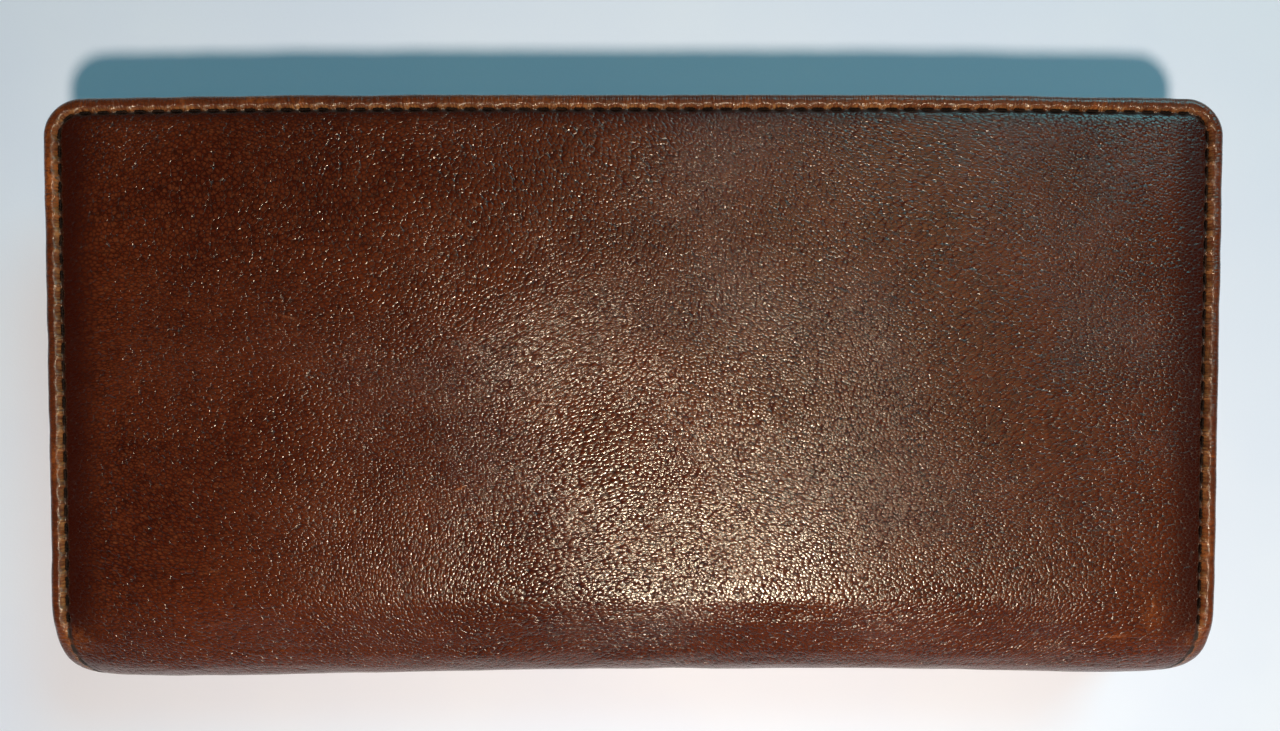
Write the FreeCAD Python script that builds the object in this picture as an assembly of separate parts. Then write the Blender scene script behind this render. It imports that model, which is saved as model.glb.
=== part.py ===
"""Long bifold wallet, turned-edge leather construction, closed and lying on its back cover.

Frame: millimetres, +Z up, +X along the long side, +Y from the folded spine to the open edge.
The origin is the centre of the wallet's outline, on the plane that the back cover rests on.

One leather cover runs from the back panel, round the spine and over the front panel. It is made
here as four solids, because the rounded spine flexes along three lines: between the back cover
and the lower half of the spine, in the middle of the spine, and between its upper half and the
front cover. Behind the leather lie a bonded backing and a woven lining, split at the same lines.
The back half carries a card panel with four stepped pockets and a banknote compartment behind it;
the front half carries a coin pocket closed by a metal zip, a slip pocket on its face and a thinner
compartment behind it.

Each flex line is a hinge along X. It lies just outside the leather, so that 60 degrees at each of
the three unrolls the spine onto one plane without stretching the outer face of the leather.
"""
import FreeCAD, Part
import math
import os

V = FreeCAD.Vector

# ---- driving dimensions -------------------------------------------------------------------
LENGTH = 190.0            # along the fold
DEPTH = 95.0              # fold to open edge, closed
THICK = 22.0              # closed thickness
CORNER_R = 6.0            # corners at the open edge
LEATHER_T = 1.0           # cover leather
BACKING_T = 0.8           # bonded board behind the leather
LINING_T = 0.6            # woven lining, and the turned-in hem beside it
COVER_T = LEATHER_T + BACKING_T + LINING_T
HEM_W = 8.0               # width of the leather turned in over the backing
EDGE_R = 0.95             # rounding of the turned edge
SEAM_IN = 2.3             # seam line, in from the edge
GROOVE_W, GROOVE_D = 0.9, 0.35
THREAD_W, THREAD_T = 0.5, 0.25
FLEX_DEG = (30.0, 90.0, 150.0)   # flex lines, from straight down, turning towards -Y
FLEX_GAP_DEG = 1.4        # gap between the solids at each flex line
FOLD_R = 6.5              # corners of the outline at the fold, where the spine's ends are drawn in

BILL_GAP = 4.2            # main banknote compartment, at the back
BILL_GAP_FRONT = 1.2      # second compartment, behind the coin pocket
PANEL_HALF_X = 90.0       # half width of the inner panels
PANEL_Y0, PANEL_Y1 = -34.0, 40.0
BASE_T = 0.6
POCKET_T, POCKET_GAP = 0.45, 0.15
POCKET_MOUTHS = (31.0, 22.0, 13.0, 4.0)
HALVES_GAP = 0.4          # air between the two halves when closed

COIN_HALF_X = 88.0
COIN_Y0, COIN_Y1 = -33.0, 35.0
WALL_T = 0.6
COIN_SPACE = 6.6
SLIP_T = 0.45
SLIP_MOUTH = 24.0

TAPE_T = 0.35
TAPE_LEG = 9.0            # depth of zip tape sewn inside each wall
TOOTH_PITCH, TOOTH_X = 2.2, 0.95
CHAIN_Y0, CHAIN_Y1 = 34.8, 36.4
CHAIN_W = 4.0
TOOTH_OVERLAP = 0.5       # how far a tooth reaches past the middle of the chain
ZIP_X0, ZIP_X1 = -77.4, 80.0
SLIDER_X = -79.0          # middle of the slider, zip closed
SLIDER_L = 8.6
PULL_HALF_W = 2.5

GUSSET_T = 0.45
GUSSET_Y0, GUSSET_Y1 = -31.0, 41.0

# ---- derived ------------------------------------------------------------------------------
R = THICK / 2.0
HX = LENGTH / 2.0
Y_OPEN = DEPTH / 2.0
YC, ZC = -DEPTH / 2.0 + R, R                  # axis of the rounded spine
Z_LIN = COVER_T                               # inner face of the back cover
Z_BASE0 = Z_LIN + BILL_GAP
Z_BASE1 = Z_BASE0 + BASE_T
ZF_LIN = THICK - COVER_T                      # inner face of the front cover
ZC1 = ZF_LIN - BILL_GAP_FRONT                 # coin pocket, outer face of the rear wall
ZC0 = ZC1 - WALL_T                            # inner face of the rear wall
ZF1 = ZC0 - COIN_SPACE                        # inner face of the front wall
ZF0 = ZF1 - WALL_T
Z_MID = (ZC0 + ZF1) / 2.0                     # middle of the zip
pockets = []
z = Z_BASE1
for _m in POCKET_MOUTHS:
    pockets.append((z + POCKET_GAP, z + POCKET_GAP + POCKET_T))
    z += POCKET_GAP + POCKET_T
Z_SLIP1 = ZF0 - 0.15
Z_SLIP0 = Z_SLIP1 - SLIP_T
assert Z_SLIP0 - pockets[-1][1] > HALVES_GAP - 0.06

os.makedirs("parts", exist_ok=True)
made = []


def box(x0, x1, y0, y1, z0, z1):
    return Part.makeBox(x1 - x0, y1 - y0, z1 - z0, V(x0, y0, z0))


def plate(inset, y0, z0, z1):
    """Cover outline, moved in by inset, square at y0 and rounded at the open edge."""
    hx, y1 = HX - inset, Y_OPEN - inset
    r = max(CORNER_R - inset, 0.6)
    k = r * math.sqrt(0.5)
    p = [V(-hx, y0, z0), V(hx, y0, z0), V(hx, y1 - r, z0), V(hx - r, y1, z0), V(-hx + r, y1, z0), V(-hx, y1 - r, z0)]
    edges = [
        Part.LineSegment(p[0], p[1]).toShape(),
        Part.LineSegment(p[1], p[2]).toShape(),
        Part.Arc(p[2], V(hx - r + k, y1 - r + k, z0), p[3]).toShape(),
        Part.LineSegment(p[3], p[4]).toShape(),
        Part.Arc(p[4], V(-hx + r - k, y1 - r + k, z0), p[5]).toShape(),
        Part.LineSegment(p[5], p[0]).toShape(),
    ]
    return Part.Face(Part.Wire(edges)).extrude(V(0, 0, z1 - z0))


def sector(r0, r1, a0, a1, x0, x1):
    """Part of a tube about the spine's axis. Angles start straight down and turn towards -Y."""
    def at(r, a):
        a = math.radians(a)
        return V(x0, YC - r * math.sin(a), ZC - r * math.cos(a))
    m = (a0 + a1) / 2.0
    edges = [
        Part.Arc(at(r1, a0), at(r1, m), at(r1, a1)).toShape(),
        Part.LineSegment(at(r1, a1), at(r0, a1)).toShape(),
        Part.Arc(at(r0, a1), at(r0, m), at(r0, a0)).toShape(),
        Part.LineSegment(at(r0, a0), at(r1, a0)).toShape(),
    ]
    return Part.Face(Part.Wire(edges)).extrude(V(x1 - x0, 0, 0))


def fold_trim(inset):
    """Everything inside the outline's two corners at the fold, moved in by inset along X only."""
    hx, y0, r = HX - inset, -DEPTH / 2.0, FOLD_R
    k = r * (1 - math.sqrt(0.5))
    z0 = -1.0
    p = [V(-hx + r, y0, z0), V(hx - r, y0, z0), V(hx, y0 + r, z0), V(hx, 60.0, z0), V(-hx, 60.0, z0), V(-hx, y0 + r, z0)]
    edges = [
        Part.LineSegment(p[0], p[1]).toShape(),
        Part.Arc(p[1], V(hx - k, y0 + k, z0), p[2]).toShape(),
        Part.LineSegment(p[2], p[3]).toShape(),
        Part.LineSegment(p[3], p[4]).toShape(),
        Part.LineSegment(p[4], p[5]).toShape(),
        Part.Arc(p[5], V(-hx + k, y0 + k, z0), p[0]).toShape(),
    ]
    return Part.Face(Part.Wire(edges)).extrude(V(0, 0, THICK + 2.0))


def fuse(*shapes):
    out = shapes[0]
    for s in shapes[1:]:
        out = out.fuse(s)
    return out.removeSplitter()


def cut(shape, *tools):
    for t in tools:
        shape = shape.cut(t)
    return shape


def prism(points, x0, x1):
    """Closed polygon in the YZ plane, drawn along X."""
    pts = [V(x0, y, z) for y, z in points]
    return Part.Face(Part.makePolygon(pts + [pts[0]])).extrude(V(x1 - x0, 0, 0))


def prism_y(points, y0, y1):
    """Closed polygon in the XZ plane, drawn along Y."""
    pts = [V(x, y0, z) for x, z in points]
    return Part.Face(Part.makePolygon(pts + [pts[0]])).extrude(V(0, y1 - y0, 0))


def flip(shape):
    """Mirror about the closed wallet's middle plane, z = THICK / 2."""
    return shape.mirror(V(0, 0, THICK / 2.0), V(0, 0, 1))


def export(name, *shapes):
    solids = [s for shape in shapes for s in shape.Solids]
    for s in solids:
        if not s.isValid() or s.Volume <= 0:
            raise RuntimeError("%s has a bad solid" % name)
    out = solids[0] if len(solids) == 1 else Part.makeCompound(solids)
    out.exportStep("parts/%s.step" % name)
    made.append((name, len(solids), round(sum(s.Volume for s in solids), 2)))


# ---- cover leather ------------------------------------------------------------------------
def cover_leather():
    """Back cover: leather, turned round the backing on three sides, and the first part of the spine."""
    body = fuse(plate(0.0, YC, 0.0, COVER_T), sector(R - COVER_T, R, 0.0, FLEX_DEG[0], -HX, HX))
    # the turned edge is rounded on its outer side
    chain = []
    for e in body.Edges:
        b = e.BoundBox
        side = abs(abs(b.XMin) - HX) < 0.01 and b.XMax - b.XMin < 0.01
        if e.Length > 1.0 and b.ZMax < 0.01 and b.YMax > YC + 1.0 and (side or b.YMin > Y_OPEN - CORNER_R - 0.01):
            chain.append(e)
    body = body.makeFillet(EDGE_R, chain)
    # room for the backing and the lining
    inside = [
        plate(LEATHER_T, YC, LEATHER_T, LEATHER_T + BACKING_T).common(fold_trim(LEATHER_T)),
        plate(HEM_W, YC, LEATHER_T + BACKING_T, COVER_T + 1.0).common(fold_trim(HEM_W)),
        sector(R - LEATHER_T - BACKING_T, R - LEATHER_T, -1.0, FLEX_DEG[0] + 1.0, -HX + LEATHER_T, HX - LEATHER_T).common(fold_trim(LEATHER_T)),
        sector(R - COVER_T - 1.0, R - LEATHER_T - BACKING_T, -1.0, FLEX_DEG[0] + 1.0, -HX + HEM_W, HX - HEM_W).common(fold_trim(HEM_W)),
    ]
    body = cut(body, *inside).common(fold_trim(0.0))
    # the seam is pressed into the outer face
    groove = plate(SEAM_IN - GROOVE_W / 2, YC + 1.0, -1.0, GROOVE_D).cut(plate(SEAM_IN + GROOVE_W / 2, YC - 5.0, -2.0, GROOVE_D + 1.0))
    return body.cut(groove)


back_cover = cover_leather()
export("back_cover", back_cover)
export("front_cover", flip(back_cover))

# ---- backing and lining of each cover --------------------------------------------------------
CL = 0.05
backing = fuse(
    plate(LEATHER_T + CL, YC, LEATHER_T, LEATHER_T + BACKING_T),
    sector(R - LEATHER_T - BACKING_T, R - LEATHER_T, 0.0, FLEX_DEG[0], -HX + LEATHER_T + CL, HX - LEATHER_T - CL),
).common(fold_trim(LEATHER_T + CL))
lining = fuse(
    plate(HEM_W + CL, YC, LEATHER_T + BACKING_T, COVER_T),
    sector(R - COVER_T, R - LEATHER_T - BACKING_T, 0.0, FLEX_DEG[0], -HX + HEM_W + CL, HX - HEM_W - CL),
).common(fold_trim(HEM_W + CL))
export("back_backing", backing)
export("front_backing", flip(backing))
export("back_lining", lining)
export("front_lining", flip(lining))

# ---- spine: the part of the cover between the first and the last flex line -----------------------
A0, A1 = FLEX_DEG[0] + FLEX_GAP_DEG, FLEX_DEG[1] - FLEX_GAP_DEG / 2
r_back, r_lin, r_in = R - LEATHER_T, R - LEATHER_T - BACKING_T, R - COVER_T
spine = fuse(
    sector(r_back, R, A0, A1, -HX, HX),
    sector(r_lin, r_back, A0, A1, -HX, HX).cut(fold_trim(LEATHER_T)),
    sector(r_in, r_lin, A0, A1, -HX, HX).cut(fold_trim(HEM_W)),
).common(fold_trim(0.0))
spine_backing = sector(r_lin, r_back, A0, A1, -HX, HX).common(fold_trim(LEATHER_T + CL))
spine_lining = sector(r_in, r_lin, A0, A1, -HX, HX).common(fold_trim(HEM_W + CL))
for name, half in (("lower", lambda s: s), ("upper", flip)):
    export("spine_cover_%s" % name, half(spine))
    export("spine_backing_%s" % name, half(spine_backing))
    export("spine_lining_%s" % name, half(spine_lining))

# the hinge lines, on the radial plane of each flex line
beta = math.radians(60.0)
rho = R * (beta / 2) / math.sin(beta / 2)
for a in FLEX_DEG:
    print("flex line %5.1f deg: y %.4f z %.4f" % (a, YC - rho * math.sin(math.radians(a)), ZC - rho * math.cos(math.radians(a))))

# ---- seam thread, lying in the groove of each cover ------------------------------------------------
T0 = GROOVE_D - THREAD_T
thread = plate(SEAM_IN - THREAD_W / 2, YC + 1.2, T0, GROOVE_D).cut(plate(SEAM_IN + THREAD_W / 2, YC - 5.0, T0 - 1.0, GROOVE_D + 1.0))
export("back_cover_thread", thread)
export("front_cover_thread", flip(thread))

# ---- card panel ---------------------------------------------------------------------------------------
export("card_panel_base", box(-PANEL_HALF_X, PANEL_HALF_X, PANEL_Y0, PANEL_Y1, Z_BASE0, Z_BASE1))
for n, (mouth, (z0, z1)) in enumerate(zip(POCKET_MOUTHS, pockets), 1):
    export("card_pocket_%d" % n, box(-PANEL_HALF_X, PANEL_HALF_X, PANEL_Y0, mouth, z0, z1))
# glued and sewn edges of the pockets: left, middle and right strips between one pocket and the next
strips = []
levels = [(Z_BASE1, pockets[0][0], POCKET_MOUTHS[0])] + [
    (pockets[i][1], pockets[i + 1][0], POCKET_MOUTHS[i + 1]) for i in range(len(pockets) - 1)
]
for z0, z1, mouth in levels:
    for x0, x1 in ((-PANEL_HALF_X, -PANEL_HALF_X + 3.0), (-1.5, 1.5), (PANEL_HALF_X - 3.0, PANEL_HALF_X)):
        strips.append(box(x0, x1, PANEL_Y0, mouth, z0, z1))
export("card_pocket_glue_strips", *strips)
export("card_panel_heel", box(-PANEL_HALF_X, PANEL_HALF_X, PANEL_Y0, PANEL_Y0 + 0.6, Z_LIN + 0.3, Z_BASE0))
# seam down the middle and both sides of the card panel, following the steps
runs = []
faces = [(Z_BASE1, POCKET_MOUTHS[0] + 0.3, PANEL_Y1 - 1.5)]
for i, (z0, z1) in enumerate(pockets):
    low = POCKET_MOUTHS[i + 1] + 0.3 if i + 1 < len(pockets) else PANEL_Y0 + 2.0
    faces.append((z1, low, POCKET_MOUTHS[i] - 0.3))
for z0, y0, y1 in faces:
    for x in (-PANEL_HALF_X + 2.0, 0.0, PANEL_HALF_X - 2.0):
        if z0 == Z_BASE1 and x == 0.0:
            continue
        runs.append(box(x - 0.25, x + 0.25, y0, y1, z0, z0 + 0.15))
export("card_panel_thread", *runs)

# ---- banknote compartment gussets -----------------------------------------------------------------------
def gusset(side, z0, z1, fold_x, low_x, high_x, t):
    """V-folded strip, its fold turned inwards, from a cover (z0) to an inner panel (z1)."""
    zm = (z0 + z1) / 2.0
    s = side
    pts = [
        (s * low_x, z0), (s * (fold_x + 1.0), z0), (s * fold_x, zm), (s * (fold_x + 1.0), z1), (s * high_x, z1),
        (s * high_x, z1 - t), (s * (fold_x + 1.0 + t), z1 - t), (s * (fold_x + t * 1.15), zm), (s * (fold_x + 1.0 + t), z0 + t), (s * low_x, z0 + t),
    ]
    return prism_y(pts, GUSSET_Y0, GUSSET_Y1)


for name, s in (("left", -1), ("right", 1)):
    export("back_gusset_%s" % name, gusset(s, Z_LIN, Z_BASE0 - 0.1, 84.5, 92.6, 89.6, GUSSET_T))
    export("front_gusset_%s" % name, gusset(s, ZC1 + 0.1, ZF_LIN, 84.5, 89.6, 92.6, 0.4))

# ---- coin pocket -----------------------------------------------------------------------------------------
export("coin_pocket_front_wall", box(-COIN_HALF_X, COIN_HALF_X, COIN_Y0, COIN_Y1, ZF0, ZF1))
export("coin_pocket_rear_wall", box(-COIN_HALF_X, COIN_HALF_X, COIN_Y0, COIN_Y1, ZC0, ZC1))
export("coin_pocket_floor", box(-COIN_HALF_X, COIN_HALF_X, COIN_Y0, COIN_Y0 + WALL_T, ZF1, ZC0))
for name, s in (("left", -1), ("right", 1)):
    x0, x1 = sorted((s * COIN_HALF_X, s * (COIN_HALF_X - WALL_T)))
    export("coin_pocket_side_%s" % name, box(x0, x1, COIN_Y0 + WALL_T, COIN_Y1, ZF1, ZC0))
export("front_panel_heel", fuse(box(-COIN_HALF_X, COIN_HALF_X, COIN_Y0 - 0.8, COIN_Y0 - 0.2, ZC0, ZF_LIN - 0.3),
                                box(-COIN_HALF_X, COIN_HALF_X, COIN_Y0 - 0.2, COIN_Y0, ZC0, ZC1)))
export("slip_pocket", box(-COIN_HALF_X, COIN_HALF_X, COIN_Y0, SLIP_MOUTH, Z_SLIP0, Z_SLIP1))
export("slip_pocket_glue_strips",
       box(-COIN_HALF_X, -COIN_HALF_X + 3.0, COIN_Y0, SLIP_MOUTH, Z_SLIP1, ZF0),
       box(COIN_HALF_X - 3.0, COIN_HALF_X, COIN_Y0, SLIP_MOUTH, Z_SLIP1, ZF0),
       box(-COIN_HALF_X + 3.0, COIN_HALF_X - 3.0, COIN_Y0, COIN_Y0 + 3.0, Z_SLIP1, ZF0))
seam_y = COIN_Y1 - 2.6
export("coin_pocket_thread",
       box(-COIN_HALF_X + 2.0, COIN_HALF_X - 2.0, seam_y - 0.25, seam_y + 0.25, ZF0 - 0.15, ZF0),
       box(-COIN_HALF_X + 1.75, -COIN_HALF_X + 2.25, COIN_Y0 + 2.0, SLIP_MOUTH - 0.5, Z_SLIP0 - 0.15, Z_SLIP0),
       box(COIN_HALF_X - 2.25, COIN_HALF_X - 1.75, COIN_Y0 + 2.0, SLIP_MOUTH - 0.5, Z_SLIP0 - 0.15, Z_SLIP0))

# ---- zip ---------------------------------------------------------------------------------------------------
# Each tape runs down the inside of its wall and turns across the mouth to the teeth.
XT = COIN_HALF_X - WALL_T - 0.2
ym = (CHAIN_Y0 + CHAIN_Y1) / 2.0
z_tooth = Z_MID - CHAIN_W / 2.0
tape = prism([
    (COIN_Y1 - TAPE_LEG, ZF1), (COIN_Y1 - TAPE_LEG, ZF1 + TAPE_T), (ym - TAPE_T / 2, ZF1 + TAPE_T), (ym - TAPE_T / 2, z_tooth),
    (ym + TAPE_T / 2, z_tooth), (ym + TAPE_T / 2, ZF1),
], -XT, XT)


def flip_zip(shape):
    return shape.mirror(V(0, 0, Z_MID), V(0, 0, 1))


export("zip_tape_front", tape)
export("zip_tape_rear", flip_zip(tape))


def teeth(x_first):
    row = []
    x = x_first
    while x + TOOTH_X < ZIP_X1:
        row.append(box(x, x + TOOTH_X, CHAIN_Y0, CHAIN_Y1, z_tooth, Z_MID + TOOTH_OVERLAP))
        x += TOOTH_PITCH
    return row


export("zip_teeth_front", *teeth(ZIP_X0))
export("zip_teeth_rear", *[flip_zip(t) for t in teeth(ZIP_X0 + TOOTH_PITCH / 2.0)])
# end stops: two at the closed end, one bridging both tapes at the other
stop = box(SLIDER_X - SLIDER_L / 2 - 2.2, SLIDER_X - SLIDER_L / 2 - 0.6, CHAIN_Y0, CHAIN_Y1, z_tooth, z_tooth + 1.4)
export("zip_stops", stop, flip_zip(stop), box(ZIP_X1 + 0.3, ZIP_X1 + 2.1, CHAIN_Y0 - 0.1, CHAIN_Y1 + 0.1, z_tooth, 2 * Z_MID - z_tooth))

# slider: upper and lower plates with side lips, joined by the wedge at the leading end
s0, s1 = SLIDER_X - SLIDER_L / 2, SLIDER_X + SLIDER_L / 2
lower = box(s0, s1, CHAIN_Y0 - 0.85, CHAIN_Y0 - 0.15, Z_MID - 2.65, Z_MID + 2.65)
upper = box(s0, s1, CHAIN_Y1 + 0.15, CHAIN_Y1 + 0.9, Z_MID - 2.9, Z_MID + 2.9)
lips = [
    box(s0, s1, CHAIN_Y1 - 0.45, CHAIN_Y1 + 0.15, Z_MID - 2.9, Z_MID - 2.3),
    box(s0, s1, CHAIN_Y1 - 0.45, CHAIN_Y1 + 0.15, Z_MID + 2.3, Z_MID + 2.9),
    box(s0, s1, CHAIN_Y0 - 0.15, CHAIN_Y0 + 0.35, Z_MID - 2.65, Z_MID - 2.25),
    box(s0, s1, CHAIN_Y0 - 0.15, CHAIN_Y0 + 0.35, Z_MID + 2.25, Z_MID + 2.65),
]
xw = s0 + 0.3
wedge_pts = [V(xw, CHAIN_Y0 - 0.15, Z_MID - 0.75), V(xw, CHAIN_Y0 - 0.15, Z_MID + 0.75), V(xw + 2.6, CHAIN_Y0 - 0.15, Z_MID + 0.2), V(xw + 2.6, CHAIN_Y0 - 0.15, Z_MID - 0.2)]
wedge = Part.Face(Part.makePolygon(wedge_pts + [wedge_pts[0]])).extrude(V(0, CHAIN_Y1 - CHAIN_Y0 + 0.3, 0))
slider = fuse(upper, lower, wedge, *lips)
export("zip_slider", slider)
# bail: a small arch that holds the pull
BY0 = CHAIN_Y1 + 0.9
bail = cut(box(SLIDER_X - 2.6, SLIDER_X + 2.6, BY0, BY0 + 2.2, Z_MID - 0.7, Z_MID + 0.7),
           box(SLIDER_X - 1.6, SLIDER_X + 1.6, BY0 - 0.5, BY0 + 1.45, Z_MID - 1.0, Z_MID + 1.0))
export("zip_slider_bail", bail)

# pull: a cross pin through the bail, two arms and an eye plate; a leather tab is folded and riveted on
PIN_Y = BY0 + 0.75
pin = Part.makeCylinder(0.45, 2 * 1.65, V(SLIDER_X, PIN_Y, Z_MID - 1.65), V(0, 0, 1))
arm0 = box(SLIDER_X - 0.45, SLIDER_X + 3.4, PIN_Y - 0.4, PIN_Y + 0.4, Z_MID - 1.65, Z_MID - 1.0)
arm1 = box(SLIDER_X - 0.45, SLIDER_X + 3.4, PIN_Y - 0.4, PIN_Y + 0.4, Z_MID + 1.0, Z_MID + 1.65)
eye = box(SLIDER_X + 3.3, SLIDER_X + 9.0, PIN_Y - 0.35, PIN_Y + 0.35, Z_MID - PULL_HALF_W, Z_MID + PULL_HALF_W)
export("zip_pull_link", fuse(pin, arm0, arm1, eye))
TX0, TX1 = SLIDER_X + 5.0, SLIDER_X + 26.0
tab = box(TX0, TX1, PIN_Y - 0.95, PIN_Y + 0.95, Z_MID - 2.9, Z_MID + 2.9)
tab = cut(tab, box(TX0 - 1.0, SLIDER_X + 9.05, PIN_Y - 0.36, PIN_Y + 0.36, Z_MID - 3.5, Z_MID + 3.5),
          Part.makeCylinder(0.62, 4.0, V(TX0 + 7.5, PIN_Y - 2.0, Z_MID), V(0, 1, 0)))
export("zip_pull_tab", tab)
rivet = fuse(Part.makeCylinder(0.6, 1.9, V(TX0 + 7.5, PIN_Y - 0.95, Z_MID), V(0, 1, 0)),
             Part.makeCylinder(1.3, 0.35, V(TX0 + 7.5, PIN_Y + 0.95, Z_MID), V(0, 1, 0)),
             Part.makeCylinder(1.3, 0.15, V(TX0 + 7.5, PIN_Y - 1.1, Z_MID), V(0, 1, 0)))
export("zip_pull_rivet", rivet)

for row in made:
    print("%-28s solids %3d  volume %10.2f mm3" % row)
print("nodes", len(made), "mid gap", round(Z_SLIP0 - pockets[-1][1], 3), "zip middle z", Z_MID, "pin y", PIN_Y)
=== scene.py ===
import bmesh
import bpy
import math
import numpy as np
from mathutils import Matrix, Vector


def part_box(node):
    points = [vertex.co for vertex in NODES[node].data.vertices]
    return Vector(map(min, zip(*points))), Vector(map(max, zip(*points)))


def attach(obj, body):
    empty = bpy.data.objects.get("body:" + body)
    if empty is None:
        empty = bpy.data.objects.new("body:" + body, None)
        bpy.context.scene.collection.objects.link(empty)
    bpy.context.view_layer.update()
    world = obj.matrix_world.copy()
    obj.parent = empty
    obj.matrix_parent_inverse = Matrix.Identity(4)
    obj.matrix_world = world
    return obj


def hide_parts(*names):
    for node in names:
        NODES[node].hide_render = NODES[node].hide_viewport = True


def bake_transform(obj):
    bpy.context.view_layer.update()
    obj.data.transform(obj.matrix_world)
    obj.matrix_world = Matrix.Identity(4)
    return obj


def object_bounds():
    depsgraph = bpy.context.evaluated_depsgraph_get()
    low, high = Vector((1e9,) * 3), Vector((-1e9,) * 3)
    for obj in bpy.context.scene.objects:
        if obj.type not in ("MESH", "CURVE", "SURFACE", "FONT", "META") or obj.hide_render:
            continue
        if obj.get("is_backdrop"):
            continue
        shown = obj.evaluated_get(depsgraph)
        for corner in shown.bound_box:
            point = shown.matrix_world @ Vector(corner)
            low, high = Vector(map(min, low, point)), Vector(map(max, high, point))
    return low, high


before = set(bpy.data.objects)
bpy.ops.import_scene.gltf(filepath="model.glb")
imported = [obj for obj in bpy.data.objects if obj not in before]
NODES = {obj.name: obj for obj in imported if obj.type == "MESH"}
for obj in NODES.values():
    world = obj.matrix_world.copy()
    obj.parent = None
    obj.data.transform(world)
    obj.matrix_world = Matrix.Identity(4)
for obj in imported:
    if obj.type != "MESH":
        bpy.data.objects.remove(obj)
cad_lo, cad_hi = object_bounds()

# ------------------------------------------------------------------ sizes, in millimetres, from the frame
def mmbox(node):
    lo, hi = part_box(node)
    return np.array(lo) * 1000.0, np.array(hi) * 1000.0


_lo, _hi = mmbox("front_cover")
HX, YO, TH = float(_hi[0]), float(_hi[1]), float(_hi[2])      # half length, open edge, thickness
R = TH / 2.0                                                  # outer radius of the rolled spine
YC = float(mmbox("spine_cover_lower")[0][1]) + R              # axis of the roll
ZC = R
VR = R * math.pi / 2.0                                        # half of the roll, along the leather
VE = VR + (YO - YC)                                           # open edge, along the leather
V60 = R * math.pi / 6.0                                       # 30 degrees either side of the spine's middle
Z_LIN = float(mmbox("back_lining")[0][2])
PITCH = 2.95                                                  # stitches


# ------------------------------------------------------------------ small tools
def waves(seed, lam, n=28, spread=0.5, aniso=1.0):
    """Smooth random field of about unit size, from plane waves about lam mm long."""
    rng = np.random.RandomState(seed)
    ang = rng.uniform(0, 2 * math.pi, n)
    k = 2 * math.pi / (lam * (1 + spread * rng.uniform(-1, 1, n)))
    kx, ky = k * np.cos(ang), k * np.sin(ang) * aniso
    ph = rng.uniform(0, 2 * math.pi, n)
    amp = math.sqrt(2.0 / n)

    def f(x, y):
        out = np.zeros(np.broadcast(x, y).shape)
        for i in range(n):
            out += np.sin(kx[i] * x + ky[i] * y + ph[i])
        return out * amp

    return f


def sstep(a, b, x):
    t = np.clip((x - a) / (b - a), 0, 1)
    return t * t * (3 - 2 * t)


def fold(x, v, h):
    """Flat leather coordinates to space: x along the fold, v across it (0 in the middle of the spine, front side positive), h outwards."""
    th = math.pi / 2 + v / R
    y = np.where(v > VR, YC + (v - VR), np.where(v < -VR, YC + (-v - VR), YC - (R + h) * np.sin(th)))
    z = np.where(v > VR, TH + h, np.where(v < -VR, -h, ZC - (R + h) * np.cos(th)))
    return np.stack([x + 0 * y, y, z], -1)


def mesh_object(name, co, faces, mats, smooth=True, attrs=None, face_mat=None, flat_faces=None):
    me = bpy.data.meshes.new(name)
    me.from_pydata([tuple(p) for p in (np.asarray(co, float) * 0.001)], [], [tuple(int(i) for i in f) for f in faces])
    me.polygons.foreach_set("use_smooth", [bool(smooth)] * len(me.polygons))
    if flat_faces is not None:
        for i in flat_faces:
            me.polygons[i].use_smooth = False
    for m in mats if isinstance(mats, (list, tuple)) else [mats]:
        me.materials.append(m)
    if face_mat is not None:
        me.polygons.foreach_set("material_index", [int(i) for i in face_mat])
    for key, (kind, data) in (attrs or {}).items():
        a = me.attributes.new(key, kind, "POINT")
        a.data.foreach_set("vector" if kind == "FLOAT_VECTOR" else "value", np.asarray(data, np.float32).ravel())
    me.update()
    me.validate()
    ob = bpy.data.objects.new(name, me)
    bpy.context.scene.collection.objects.link(ob)
    return ob


def bend_weights(ob, a, b, start, end):
    """Bake the object's transform into its mesh."""
    tuple(c * 0.001 for c in start)
    tuple(c * 0.001 for c in end)
    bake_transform(ob)
    return ob


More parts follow.
